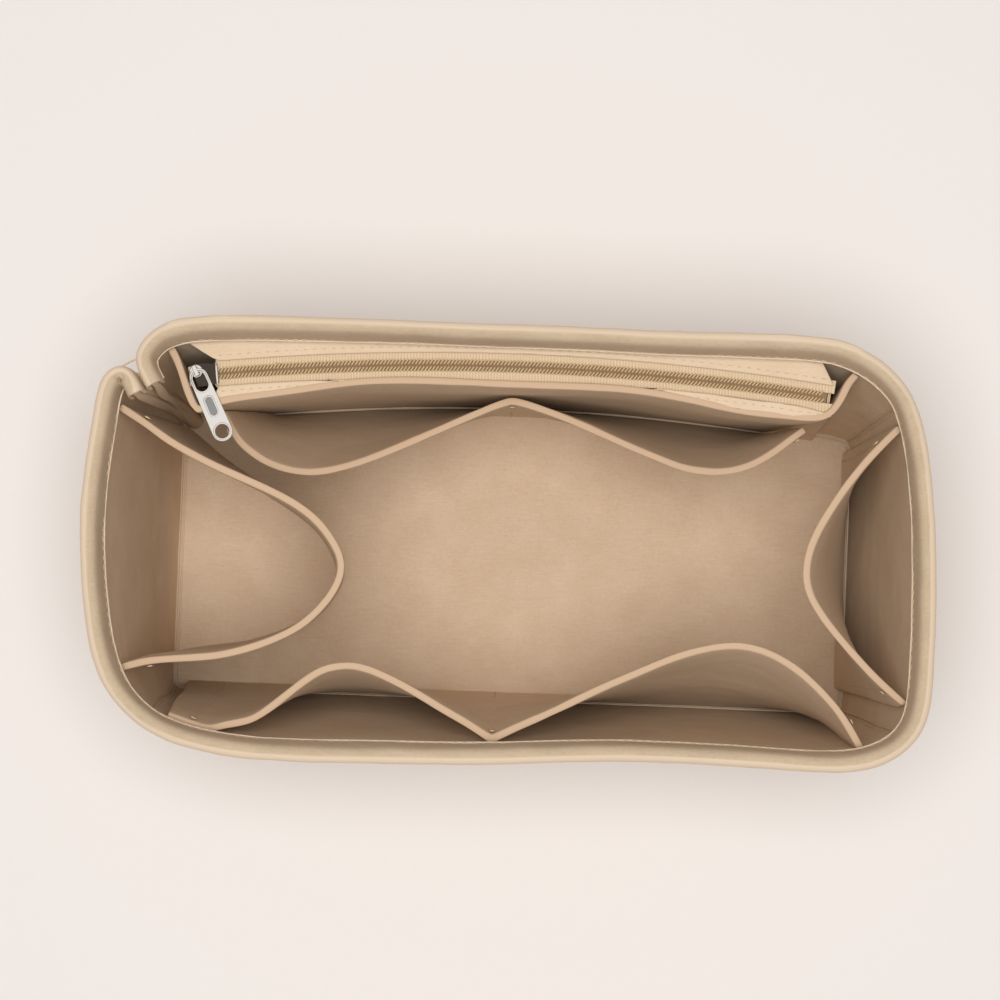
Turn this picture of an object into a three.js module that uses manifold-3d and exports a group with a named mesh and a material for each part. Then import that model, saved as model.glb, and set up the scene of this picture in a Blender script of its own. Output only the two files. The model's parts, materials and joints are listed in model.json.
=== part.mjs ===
import * as THREE from 'three';
import { mergeVertices } from 'three/addons/utils/BufferGeometryUtils.js';
import Module from 'manifold-3d';

// A purse organizer insert: an open felt box that stands in a handbag.
// Four felt wall panels rise from a felt base and lean outwards to a softly rounded, bound rim.
// One rim corner is pinched inwards. Felt pocket walls bow out from every side,
// and a pouch along the rear wall closes with a zip whose slider, crown and pull all move.
// Millimetres, +Z up, +X to the right-hand end, +Y to the rear wall with the pouch.
// The origin is under the middle of the base.

// Overall sizes. The outlines run along the middle of the wall's felt.
const height = 160;
const baseHalfLength = 132.4;
const baseHalfDepth = 54.9;
const baseRearBow = 11;
const rimHalfLength = 146.3;
const rimHalfDepth = 74.5;
const rimCentreX = -1.5;
const rimCentreY = 5;

// Felt and seams.
const felt = 2.8;
const bindingFelt = 1.5;
const flangeFelt = 2;
const seamGap = 0.3;
const pocketGap = 0.45;
const bindingDrop = 15;

// The pinched corner: how far its seam reaches in at the rim, how wide its folds are
// at the foot, how far apart its sides stay, and how far below the rim the two panels
// part to take the binding.
const pinchDepth = 9.3;
const pinchGap = 1;
const pinchFoot = 6.2;
const pinchPartingDrop = 45;
const pinchHeading = THREE.MathUtils.degToRad(-61);
const pinchFootHeading = THREE.MathUtils.degToRad(-50);

// Pocket walls: how far their tops lie below the rim, and how far each bay bows out.
const pocketDrop = 20;
const rearPocketDrop = 48;
const leftPocketReach = 76.8;
const rightPocketReach = 32.9;
const frontLeftReach = 21.8;
const frontRightReach = 34.9;
const rearLeftReach = 22.6;
const rearRightReach = 18.4;
const pouchReach = 19.9;

// The zip follows an arc that bows towards the rear wall, with its middle and its ends
// set in from that wall and from the rim's ends.
const zipDrop = 22;
const zipInset = 9;
const zipEndInset = 37.8;
const zipBow = 6.8;
const slotHalfWidth = 4.4;

// Zip tape, coil and flanges, with how far each runs on past the arc's two ends.
const tapeThickness = 0.6;
const tapeOuterEdge = 6.5;
const tapeLeftRun = 8.1;
const tapeRightRun = 2.5;
const coilHalfWidth = 2.3;
const coilHalfHeight = 1.1;
const coilParting = 0.55;
const coilLeftRun = 6.7;
const coilRightRun = 0.1;
const stopLength = 0.9;
const flangeLeftRun = -2.1;
const flangeRightRun = 1.9;

// Zip slider. Its two wings straddle the coil and a thin post joins them between its halves.
const sliderRun = 2.2;
const sliderLength = 9;
const sliderWidth = 8.2;
const sliderTailWidth = 6.8;
const sliderShoulder = 4;
const wingThickness = 0.9;
const wingLip = 0.8;
const wingLipWidth = 0.9;
const postThickness = 0.5;
const postLength = 2.4;
const crownSetback = 3;
const crownOffset = 1.5;

// Crown, the arch on the slider that holds the pull.
const crownRadius = 2.3;
const crownPlate = 0.6;
const crownBar = 1.4;
const crownBarThickness = 0.8;
const crownOpening = 2.3;
const crownArchHeight = 2.2;

// Pull, a plate with an eye at the crown and a round hole near its tip.
const pullReach = 23.2;
const pullTipRadius = 3.6;
const pullNeckWidth = 6.6;
const pullThickness = 1.2;
const pullEyeWidth = 4.4;
const pullEyeLength = 6.9;
const pullEyeBar = 1.5;
const pullHoleRadius = 2.45;
const pullHeading = THREE.MathUtils.degToRad(-64);
const pullLift = 0.4;

// Bar tacks, the short bars of thread that lock a seam's end.
const tackLength = 6;
const tackWidth = 1.2;
const tackThickness = 0.7;
const tackInset = 1;
const cornerTackLength = 2;
const cornerTackDrop = 2;

// Mesh fineness.
const samplesPerSpan = 2;
const zipSteps = 20;
const flangeSteps = 28;
const foldSteps = 4;
const roundSteps = 5;
const carrierSteps = 200;

// Heights and distances that follow from the sizes above.
const wallFoot = felt + seamGap;
const wallTop = height - bindingFelt - seamGap;
const bindingFoot = height - bindingDrop;
const pinchParting = height - pinchPartingDrop;
const sheetPitch = felt + pocketGap;
const pocketTop = height - pocketDrop;
const rearPocketTop = height - rearPocketDrop;
const zipLevel = height - zipDrop;
const zipHalfChord = rimHalfLength - zipEndInset;
const tapeStart = -zipHalfChord - tapeLeftRun;
const tapeEnd = zipHalfChord + tapeRightRun;
const coilStart = -zipHalfChord - coilLeftRun;
const coilEnd = zipHalfChord + coilRightRun;
const flangeStart = -zipHalfChord - flangeLeftRun;
const flangeEnd = zipHalfChord + flangeRightRun;
const sliderRest = -zipHalfChord - sliderRun;
const bindingOffset = felt / 2 + seamGap + bindingFelt;
const tapeLow = zipLevel - tapeThickness / 2;
const tapeHigh = zipLevel + tapeThickness / 2;
const pouchTop = tapeLow - seamGap;
const flangeLow = tapeHigh + seamGap;
const wingLow = coilHalfHeight + seamGap;
const wingHigh = wingLow + wingThickness;
const crownLow = zipLevel + wingHigh + seamGap;
const archLow = crownLow + crownPlate;
const archHigh = archLow + crownArchHeight;
const pullLow = archLow + pullLift;

// Rim and base outlines as [rim x, rim y, base x, base y] shares of the half sizes.
// They run clockwise seen from above, each list from one corner seam to the next.
const rearShares = [
  [-0.78, 0.975, -0.86, 1],
  [-0.6, 0.993, -0.66, 1],
  [-0.3, 0.996, -0.33, 1],
  [0.01, 1, 0, 1],
  [0.32, 0.996, 0.33, 1],
  [0.62, 0.996, 0.66, 1],
  [0.76, 0.985, 0.81, 1],
  [0.835, 0.93, 0.89, 1],
  [0.89, 0.85, 0.95, 1],
];
const rearRightSeamShares = [[0.932, 0.745, 0.992, 0.98]];
const rightShares = [
  [0.975, 0.46, 1, 0.69],
  [0.998, -0.07, 1, 0],
  [0.997, -0.54, 1, -0.62],
  [0.983, -0.735, 1, -0.87],
];
const frontRightSeamShares = [[0.955, -0.825, 0.992, -0.98]];
const frontShares = [
  [0.92, -0.885, 0.955, -1],
  [0.86, -0.938, 0.9, -1],
  [0.76, -0.962, 0.8, -1],
  [0.55, -0.945, 0.59, -1],
  [0.3, -0.94, 0.33, -1],
  [0.01, -0.975, 0, -1],
  [-0.3, -0.993, -0.34, -1],
  [-0.57, -0.996, -0.64, -1],
  [-0.73, -0.957, -0.83, -1],
  [-0.8, -0.91, -0.94, -1],
];
const frontLeftSeamShares = [[-0.848, -0.858, -0.992, -0.98]];
const leftShares = [
  [-0.908, -0.75, -1, -0.87],
  [-0.95, -0.6, -1, -0.68],
  [-0.975, -0.41, -1, -0.45],
  [-0.997, -0.07, -1, 0],
  [-0.999, 0.23, -1, 0.38],
  [-0.981, 0.548, -1, 0.8],
];

// The pinched corner. Its mouth is a share of the rim's half sizes, and the folds beside it
// are [rim x, rim y, foot x, foot y] shares of the pinch's depth at the rim and at the foot.
const pinchMouthShares = [-0.91, 0.777];
const pinchFootMouthShares = [0.55, -0.42];
const pinchFootDepthShare = 0.45;
const pinchThroatShare = 0.27;
const rearFoldShares = [
  [0.4, 0.37, 0.89, -0.19],
  [0.62, 0.83, 1, -0.05],
  [1.09, 1.26, 1.35, 0.02],
];
const leftFoldShares = [
  [-1.01, -1.14, 0, -1.02],
  [-0.84, -0.61, 0.08, -0.74],
  [-0.53, -0.32, 0.29, -0.65],
];

// Pocket and pouch walls as [along, out] shares of the chord between a bay's two seams:
// along the chord, and out from it as a share of the bay's reach. Where out is 0 the wall
// lies against its carrier.
const leftPocketShares = [
  [0.024, 0.13],
  [0.035, 0.4],
  [0.06, 0.56],
  [0.095, 0.69],
  [0.145, 0.81],
  [0.22, 0.91],
  [0.305, 0.98],
  [0.38, 1],
  [0.455, 0.97],
  [0.56, 0.88],
  [0.65, 0.73],
  [0.757, 0.47],
  [0.858, 0.24],
  [0.935, 0.11],
];
const rightPocketShares = [
  [0.1, 0.3],
  [0.2, 0.56],
  [0.32, 0.81],
  [0.41, 0.945],
  [0.49, 1],
  [0.56, 0.99],
  [0.63, 0.91],
  [0.73, 0.71],
  [0.83, 0.47],
  [0.91, 0.26],
];
const frontRightPocketShares = [
  [0.05, 0.3],
  [0.1, 0.52],
  [0.157, 0.72],
  [0.214, 0.86],
  [0.27, 0.95],
  [0.35, 1],
  [0.48, 0.91],
  [0.6, 0.72],
  [0.716, 0.52],
  [0.832, 0.3],
  [0.94, 0.12],
];
const frontLeftPocketShares = [
  [0.08, 0.25],
  [0.149, 0.42],
  [0.253, 0.69],
  [0.353, 0.9],
  [0.43, 1],
  [0.488, 0.98],
  [0.541, 0.885],
  [0.603, 0.63],
  [0.665, 0.33],
  [0.728, 0.07],
  [0.775, -0.02],
  [0.82, -0.08],
  [0.86, 0],
  [0.91, 0],
];
const rearLeftPocketShares = [
  [0.043, 0.41],
  [0.088, 0.62],
  [0.139, 0.79],
  [0.217, 0.94],
  [0.317, 1],
  [0.451, 0.9],
  [0.568, 0.73],
  [0.767, 0.38],
  [0.927, 0.1],
];
const rearRightPocketShares = [
  [0.082, 0.1],
  [0.238, 0.36],
  [0.395, 0.66],
  [0.513, 0.85],
  [0.593, 0.97],
  [0.669, 1],
  [0.747, 0.95],
  [0.822, 0.8],
  [0.894, 0.53],
  [0.952, 0.23],
];
const pouchShares = [
  [0.007, 0.13],
  [0.018, 0.47],
  [0.029, 0.81],
  [0.041, 1],
  [0.071, 0.83],
  [0.15, 0.66],
  [0.221, 0.51],
  [0.287, 0.41],
  [0.37, 0.37],
  [0.483, 0.36],
  [0.629, 0.345],
  [0.696, 0.385],
  [0.764, 0.51],
  [0.832, 0.68],
  [0.9, 0.74],
  [0.947, 0.765],
  [0.968, 0.65],
  [0.982, 0.38],
  [0.991, 0.12],
];

// Where each wall's ends and its middle seam lie along what carries it.
const pouchEndShares = [0.077, 0.927];
const leftPocketEndShares = [0.15, 0.84];
const rightPocketEndShares = [0.065, 0.9];
const frontPocketEndShares = [0.055, 0.975];
const frontPocketSeamShare = 0.5435;
const rearPocketEndShares = [0.105, 0.915];
const rearPocketSeamShare = 0.507;

// How far open a wall's foot stands as a share of its top, and where the flanges end
// along the rear panel and along the pouch wall.
const leftPocketFootShare = 0.81;
const seamedFootShare = 0;
const rearFlangeEndShares = [0.1, 0.88];
const frontFlangeEndShares = [0.105, 0.935];

// Where a bar tack stands along the end bay, and where the corner's thread bar lies
// as a share of the pinch's depth from its mouth.
const tackShare = 0.06;
const cornerTackShare = -0.12;

const { lerp, smoothstep } = THREE.MathUtils;

const wasm = await Module();
wasm.setup();

function material(colour, roughness, metalness) {
  return new THREE.MeshStandardMaterial({ color: colour, roughness, metalness });
}

const panelFelt = material(0xc9ab88, 0.95, 0);
const pocketFelt = material(0xd6b795, 0.95, 0);
const bindingCloth = material(0xd8bf9f, 0.95, 0);
const zipTapeCloth = material(0xd9c09a, 0.85, 0);
const coilNylon = material(0xb3976c, 0.5, 0);
const thread = material(0xe0cfb2, 0.7, 0);
const plate = material(0xe6e4df, 0.22, 1);

// Turns corners and triangles into a geometry whose faces point out.
function closedGeometry(corners, triangles) {
  let volume = 0;
  for (const [a, b, c] of triangles) {
    volume += corners[a].dot(new THREE.Vector3().crossVectors(corners[b], corners[c]));
  }
  const geometry = new THREE.BufferGeometry();
  geometry.setFromPoints(corners);
  const order = volume < 0 ? triangles.map(([a, b, c]) => [a, c, b]) : triangles;
  geometry.setIndex(order.flat());
  geometry.computeVertexNormals();
  return geometry;
}

// Makes one closed mesh by carrying a closed section along a row of stations.
// section holds [across, z] pairs, and place(station, across, z) gives each corner's place.
function sweep(stationCount, section, place) {
  const corners = [];
  for (let station = 0; station < stationCount; station += 1) {
    for (const [across, z] of section) {
      corners.push(place(station, across, z));
    }
  }
  const triangles = [];
  const ring = section.length;
  for (let station = 0; station < stationCount - 1; station += 1) {
    for (let corner = 0; corner < ring; corner += 1) {
      const next = (corner + 1) % ring;
      const here = station * ring;
      const there = here + ring;
      triangles.push([here + corner, here + next, there + corner]);
      triangles.push([there + corner, here + next, there + next]);
    }
  }
  const flat = section.map(([across, z]) => new THREE.Vector2(across, z));
  const last = (stationCount - 1) * ring;
  for (const [a, b, c] of THREE.ShapeUtils.triangulateShape(flat, [])) {
    triangles.push([a, c, b]);
    triangles.push([last + a, last + b, last + c]);
  }
  return closedGeometry(corners, triangles);
}

// Extrudes an outline in plan upwards from a height.
function slab(outline, low, thickness, holes = []) {
  const shape = new THREE.Shape(outline);
  shape.holes.push(...holes);
  const geometry = new THREE.ExtrudeGeometry(shape, { depth: thickness, bevelEnabled: false });
  return geometry.translate(0, 0, low);
}

function block(length, width, thickness, x, y, low) {
  return new THREE.BoxGeometry(length, width, thickness).translate(x, y, low + thickness / 2);
}

// Joins closed meshes that overlap into one.
function joined(...geometries) {
  const solids = geometries.map((geometry) => {
    const plain = geometry.clone();
    plain.deleteAttribute('normal');
    plain.deleteAttribute('uv');
    const merged = mergeVertices(plain);
    return new wasm.Manifold(new wasm.Mesh({
      numProp: 3,
      vertProperties: new Float32Array(merged.attributes.position.array),
      triVerts: new Uint32Array(merged.index.array),
    }));
  });
  const mesh = solids.slice(1).reduce((whole, solid) => whole.add(solid), solids[0]).getMesh();
  const geometry = new THREE.BufferGeometry();
  geometry.setAttribute('position', new THREE.BufferAttribute(mesh.vertProperties, 3));
  geometry.setIndex(new THREE.BufferAttribute(mesh.triVerts, 1));
  geometry.computeVertexNormals();
  return geometry;
}

function spline(points) {
  return new THREE.CatmullRomCurve3(points, false, 'centripetal');
}

// The left-hand normal of a curve in plan.
function sideOf(curve, t) {
  const tangent = curve.getTangent(t);
  return new THREE.Vector3(-tangent.y, tangent.x, 0).normalize();
}

// How far up the wall a height lies, from 0 at the foot to 1 at the rim.
function rise(z) {
  return (z - wallFoot) / (height - wallFoot);
}

function outlinePoint([rimX, rimY, baseX, baseY], z) {
  const bow = baseY === 1 ? baseRearBow * (1 - baseX * baseX) : 0;
  return new THREE.Vector3(
    lerp(baseX * baseHalfLength, rimCentreX + rimX * rimHalfLength, rise(z)),
    lerp(baseY * baseHalfDepth + bow, rimCentreY + rimY * rimHalfDepth, rise(z)),
    0,
  );
}

// The pinched corner at one height: its mouth at the rim and at the foot, which way it runs,
// and how far each side stands from its middle.
function pinchAt(z) {
  const up = rise(z);
  const heading = lerp(pinchFootHeading, pinchHeading, up);
  const parting = smoothstep(z, pinchParting, bindingFoot);
  return {
    rim: new THREE.Vector3(
      rimCentreX + pinchMouthShares[0] * rimHalfLength,
      rimCentreY + pinchMouthShares[1] * rimHalfDepth,
      0,
    ),
    foot: new THREE.Vector3(-baseHalfLength, baseHalfDepth + felt / 2, 0),
    inward: new THREE.Vector3(Math.cos(heading), Math.sin(heading), 0),
    across: new THREE.Vector3(-Math.sin(heading), Math.cos(heading), 0),
    halfGap: lerp(felt / 2, bindingOffset, parting) + pinchGap / 2,
    up,
  };
}

function foldPoint([rimX, rimY, footX, footY], z) {
  const { rim, foot, up } = pinchAt(z);
  const atRim = rim.clone().add(new THREE.Vector3(rimX, rimY, 0).multiplyScalar(pinchDepth));
  const atFoot = foot.clone().add(new THREE.Vector3(footX, footY, 0).multiplyScalar(pinchFoot));
  return atFoot.lerp(atRim, up);
}

// A point on one side of the pinch's seam: side 1 is the rear panel's, side -1 the left panel's.
function seamPoint(depthShare, side, z) {
  const { rim, foot, inward, across, halfGap, up } = pinchAt(z);
  const [mouthX, mouthY] = pinchFootMouthShares;
  const footMouth = foot.add(new THREE.Vector3(mouthX, mouthY, 0).multiplyScalar(pinchFoot));
  const depth = lerp(pinchFootDepthShare * pinchFoot, pinchDepth, up) * depthShare;
  return footMouth
    .lerp(rim, up)
    .addScaledVector(inward, depth)
    .addScaledVector(across, side * halfGap);
}

const outlineRows = [
  ...rearShares,
  ...rearRightSeamShares,
  ...rightShares,
  ...frontRightSeamShares,
  ...frontShares,
  ...frontLeftSeamShares,
  ...leftShares,
];
const seamRows = 2;
const pinchRows = seamRows + rearFoldShares.length;
const wallSpans = outlineRows.length + 2 * pinchRows - 1;
const rightStart = pinchRows + rearShares.length;
const frontStart = rightStart + 1 + rightShares.length;
const leftStart = frontStart + 1 + frontShares.length;
const seamStations = [0, rightStart / wallSpans, frontStart / wallSpans, leftStart / wallSpans, 1];

// The whole wall in plan at one height, from the pinch's rear fold clockwise to its left fold.
const wallCurves = new Map();
function wallCurve(z) {
  if (!wallCurves.has(z)) {
    const points = [
      seamPoint(1, 1, z),
      seamPoint(pinchThroatShare, 1, z),
      ...rearFoldShares.map((row) => foldPoint(row, z)),
      ...outlineRows.map((row) => outlinePoint(row, z)),
      ...leftFoldShares.map((row) => foldPoint(row, z)),
      seamPoint(pinchThroatShare, -1, z),
      seamPoint(1, -1, z),
    ];
    wallCurves.set(z, spline(points));
  }
  return wallCurves.get(z);
}

// A point of the wall: station runs from 0 to 1 along it, and offset is positive outwards.
function wallPoint(station, z, offset) {
  const curve = wallCurve(z);
  const point = curve.getPoint(station).addScaledVector(sideOf(curve, station), offset);
  return point.setZ(z);
}

// How many stations half a seam's gap takes up along the wall's inner face.
function seamTrim(station, z) {
  const step = 1 / carrierSteps;
  const before = wallPoint(station - step, z, -felt / 2);
  const after = wallPoint(station + step, z, -felt / 2);
  return (seamGap * step) / before.distanceTo(after);
}

// The stations at which a panel starts and ends, with half the seam's gap taken off each.
const panelNames = ['rear', 'right', 'front', 'left'];
function panelStations(name, z) {
  const index = panelNames.indexOf(name);
  const [from, to] = seamStations.slice(index, index + 2);
  const isLast = index === panelNames.length - 1;
  return [index > 0 ? from + seamTrim(from, z) : from, isLast ? to : to - seamTrim(to, z)];
}

// A felt sheet's section: up its outer face and down its inner one, with a row at each level.
function sheetSection(levels) {
  const outer = levels.map((z) => [felt / 2, z]);
  const inner = levels.map((z) => [-felt / 2, z]).reverse();
  return [...outer, ...inner];
}

const wallLevels = [wallFoot, (wallFoot + pinchParting) / 2, pinchParting, bindingFoot, wallTop];

function wallPanel(name) {
  const [first, last] = panelStations(name, height);
  const count = Math.round((last - first) * wallSpans) * samplesPerSpan + 1;
  return sweep(count, sheetSection(wallLevels), (station, across, z) => {
    const [from, to] = panelStations(name, z);
    return wallPoint(lerp(from, to, station / (count - 1)), z, across);
  });
}

// The rim's binding: felt folded over the wall's top edge, round at the fold.
function rimBinding() {
  const inside = felt / 2 + seamGap;
  const crest = height - bindingOffset;
  const fold = [];
  for (let step = 0; step <= foldSteps; step += 1) {
    const angle = (step / foldSteps) * Math.PI;
    fold.push([bindingOffset * Math.cos(angle), crest + bindingOffset * Math.sin(angle)]);
  }
  const section = [
    [bindingOffset, bindingFoot],
    ...fold,
    [-bindingOffset, bindingFoot],
    [-inside, bindingFoot],
    [-inside, height - bindingFelt],
    [inside, height - bindingFelt],
    [inside, bindingFoot],
  ];
  const count = wallSpans * samplesPerSpan + 1;
  return sweep(count, section, (station, across, z) => wallPoint(station / (count - 1), z, across));
}

// The base reaches under the walls, and leaves out the pinch's seam.
function basePanel() {
  const first = seamRows / wallSpans;
  const count = wallSpans * samplesPerSpan;
  const outline = [];
  for (let step = 0; step <= count; step += 1) {
    const point = wallPoint(lerp(first, 1 - first, step / count), wallFoot, felt / 2);
    outline.push(new THREE.Vector2(point.x, point.y));
  }
  return slab(outline, 0, felt);
}

// A wall as something that carries other walls: along runs by length from 0 to 1 at the top,
// and out is how far inwards from the carrying wall's middle a place lies.
function carrierOf(pointAt, top) {
  const lengths = [0];
  let previous = pointAt(0, top, 0);
  for (let step = 1; step <= carrierSteps; step += 1) {
    const point = pointAt(step / carrierSteps, top, 0);
    lengths.push(lengths[step - 1] + point.distanceTo(previous));
    previous = point;
  }
  return (along, z, out) => {
    const target = along * lengths[carrierSteps];
    const step = Math.max(1, lengths.findIndex((length) => length >= target));
    const part = (target - lengths[step - 1]) / (lengths[step] - lengths[step - 1]);
    return pointAt((step - 1 + part) / carrierSteps, z, -out);
  };
}

function panelCarrier(name) {
  const [from, to] = panelStations(name, height);
  return carrierOf((t, z, offset) => wallPoint(lerp(from, to, t), z, offset), height);
}

// The cosine of the angle at which a wall that leaves for a neighbouring point meets its carrier.
function meetingCosine(carrier, along, z, neighbour) {
  const step = 1 / carrierSteps;
  const end = carrier(along, z, sheetPitch);
  const tangent = carrier(along + step, z, sheetPitch).sub(carrier(along - step, z, sheetPitch));
  return Math.abs(Math.cos(tangent.angleTo(neighbour.clone().sub(end))));
}

// The places of one bay's table between two stops. Open, they stand out from the chord
// between the stops. Shut, they lie along the carrier, spaced as they are along the open wall.
function bayPoints(carrier, shares, reach, from, to, z, opening) {
  const start = carrier(from, z, sheetPitch);
  const chord = carrier(to, z, sheetPitch).sub(start);
  const inward = new THREE.Vector3(chord.y, -chord.x, 0).normalize();
  const open = shares.map(([along, out]) => {
    if (out === 0) {
      return carrier(lerp(from, to, along), z, sheetPitch);
    }
    return start.clone().addScaledVector(chord, along).addScaledVector(inward, out * reach);
  });
  const path = [start, ...open, start.clone().add(chord)];
  const lengths = path.slice(1).map((point, index) => point.distanceTo(path[index]));
  const whole = lengths.reduce((sum, length) => sum + length, 0);
  let gone = 0;
  return open.map((point, index) => {
    gone += lengths[index];
    return carrier(lerp(from, to, gone / whole), z, sheetPitch).lerp(point, opening);
  });
}

// A pocket wall, a felt sheet that bows out from its carrier in one or more bays.
// Its ends and the seams between its bays lie against the carrier. Each bay has a table of
// [along, out] shares and a reach, and the foot of the wall is open by footShare of its top.
function pocketWall({ carrier, bays, reaches, endShares, seamShares, top, footShare }) {
  const stops = [endShares[0], ...seamShares, endShares[1]];
  const curvesAt = new Map();

  const curvesOf = (z) => {
    if (!curvesAt.has(z)) {
      const opening = lerp(footShare, 1, (z - wallFoot) / (top - wallFoot));
      const bulges = bays.map((shares, bay) =>
        bayPoints(carrier, shares, reaches[bay], stops[bay], stops[bay + 1], z, opening));
      const held = stops.map((along, index) => {
        const neighbours = [];
        if (index > 0) {
          neighbours.push(bulges[index - 1].at(-1));
        }
        if (index < bays.length) {
          neighbours.push(bulges[index][0]);
        }
        const cosines = neighbours.map((point) => meetingCosine(carrier, along, z, point));
        const cosine = Math.min(...cosines);
        const isSeam = neighbours.length > 1;
        const shift = isSeam ? 1 / cosine - 1 : cosine - 1;
        return carrier(along, z, sheetPitch + (felt / 2) * shift);
      });
      curvesAt.set(z, bulges.map((points, bay) => spline([held[bay], ...points, held[bay + 1]])));
    }
    return curvesAt.get(z);
  };

  const stations = [];
  bays.forEach((shares, bay) => {
    const count = (shares.length + 1) * samplesPerSpan;
    for (let step = bay > 0 ? 1 : 0; step <= count; step += 1) {
      stations.push([bay, step / count]);
    }
  });

  // At a seam the two bays meet in a fold, and the sheet's faces follow its mitre.
  const placeAt = (bay, t, z, across) => {
    const curves = curvesOf(z);
    const side = sideOf(curves[bay], t);
    if (t === 1 && bay < bays.length - 1) {
      const nextSide = sideOf(curves[bay + 1], 0);
      side.add(nextSide).normalize();
      side.divideScalar(side.dot(nextSide));
    }
    return curves[bay].getPoint(t).addScaledVector(side, across).setZ(z);
  };

  const levels = [wallFoot, ...wallLevels.filter((z) => z > wallFoot && z < top - felt), top];
  const geometry = sweep(stations.length, sheetSection(levels), (station, across, z) =>
    placeAt(...stations[station], z, across));
  return { geometry, placeAt };
}

// A point beside the zip's arc: s runs along it from its middle, and rear is towards the rear.
const zipRadius = (zipHalfChord ** 2 + zipBow ** 2) / (2 * zipBow);
const zipCentreY = outlinePoint([0, 1, 0, 1], zipLevel).y - zipInset - zipRadius;
function zipPoint(s, rear) {
  const radius = zipRadius + rear;
  const angle = s / zipRadius;
  return new THREE.Vector2(radius * Math.sin(angle), zipCentreY + radius * Math.cos(angle));
}

// The steps keep their length, so a short line has few of them.
function zipLine(from, to, rear) {
  const steps = Math.max(1, Math.round((zipSteps * Math.abs(to - from)) / (2 * zipHalfChord)));
  return Array.from({ length: steps + 1 }, (_, step) =>
    zipPoint(lerp(from, to, step / steps), rear));
}

// A strip that follows the zip between two distances beside it.
function zipStrip(from, to, nearRear, farRear, low, thickness) {
  const outline = [...zipLine(from, to, nearRear), ...zipLine(from, to, farRear).reverse()];
  return slab(outline, low, thickness);
}

function tape(side) {
  const inner = coilHalfWidth + seamGap;
  return zipStrip(tapeStart, tapeEnd, side * inner, side * tapeOuterEdge, tapeLow, tapeThickness);
}

function coil(side) {
  const low = zipLevel - coilHalfHeight;
  const thickness = 2 * coilHalfHeight;
  return zipStrip(coilStart, coilEnd, side * coilParting, side * coilHalfWidth, low, thickness);
}

// A stop of thread that closes the zip's end, from just past the coil.
function zipStop(from, direction) {
  const start = from + direction * seamGap;
  const end = start + direction * stopLength;
  const thickness = coilHalfHeight + tapeThickness / 2;
  return zipStrip(start, end, -coilHalfWidth, coilHalfWidth, tapeLow, thickness);
}

// A felt flange between the zip's slot and the wall that carries it.
function zipFlange(side, edgeAt, endShares) {
  const slot = zipLine(flangeStart, flangeEnd, side * slotHalfWidth);
  const edge = Array.from({ length: flangeSteps + 1 }, (_, step) => {
    const point = edgeAt(lerp(endShares[1], endShares[0], step / flangeSteps));
    return new THREE.Vector2(point.x, point.y);
  });
  return slab([...slot, ...edge], flangeLow, flangeFelt);
}

// One wing of the slider in its own frame: +X points to the tail, and side is 1 above the coil.
function sliderWing(side) {
  const nose = -sliderLength / 2;
  const outline = [
    new THREE.Vector2(nose, -sliderTailWidth / 2),
    new THREE.Vector2(nose + sliderShoulder / 2, -sliderWidth / 2),
    new THREE.Vector2(-nose - sliderShoulder, -sliderWidth / 2),
    new THREE.Vector2(-nose, -sliderTailWidth / 2),
  ];
  const whole = [...outline, ...outline.map(({ x, y }) => new THREE.Vector2(x, -y)).reverse()];
  const wing = slab(whole, side > 0 ? wingLow : -wingHigh, wingThickness);
  const lipHeight = wingLip + wingThickness / 2;
  const lipLow = side > 0 ? wingLow - wingLip : -wingLow - wingThickness / 2;
  const lipFrom = nose + sliderShoulder / 2;
  const lipTo = -nose - sliderShoulder;
  const lipX = (lipFrom + lipTo) / 2;
  const lipY = (sliderWidth - wingLipWidth) / 2;
  const lips = [-1, 1].map((edge) =>
    block(lipTo - lipFrom, wingLipWidth, lipHeight, lipX, edge * lipY, lipLow));
  return joined(wing, ...lips);
}

function sliderBody() {
  const postHeight = 2 * wingLow + wingThickness;
  const postX = (postLength - sliderLength) / 2;
  const post = block(postLength, postThickness, postHeight, postX, 0, -postHeight / 2);
  return joined(sliderWing(1), sliderWing(-1), post);
}

// The crown in its own frame: the pull lies along +X, and the arch spans from behind to ahead.
function crown() {
  const turntable = new THREE.CylinderGeometry(crownRadius, crownRadius, crownPlate, 4 * roundSteps);
  turntable.rotateX(Math.PI / 2).translate(0, 0, crownLow + crownPlate / 2);
  const legHeight = crownArchHeight + crownPlate / 2 + crownBarThickness / 2;
  const legLow = archLow - crownPlate / 2;
  const legX = (crownOpening + crownBarThickness) / 2;
  const archLength = crownOpening + 2 * crownBarThickness;
  return joined(
    turntable,
    block(crownBarThickness, crownBar, legHeight, legX, 0, legLow),
    block(crownBarThickness, crownBar, legHeight, -legX, 0, legLow),
    block(archLength, crownBar, crownBarThickness, 0, 0, archHigh),
  );
}

// Points on an arc about a place on the X axis, from one angle to another.
function arcPoints(centreX, radius, from, to, steps) {
  return Array.from({ length: steps + 1 }, (_, step) => {
    const angle = lerp(from, to, step / steps);
    return new THREE.Vector2(centreX + radius * Math.cos(angle), radius * Math.sin(angle));
  });
}

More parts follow.
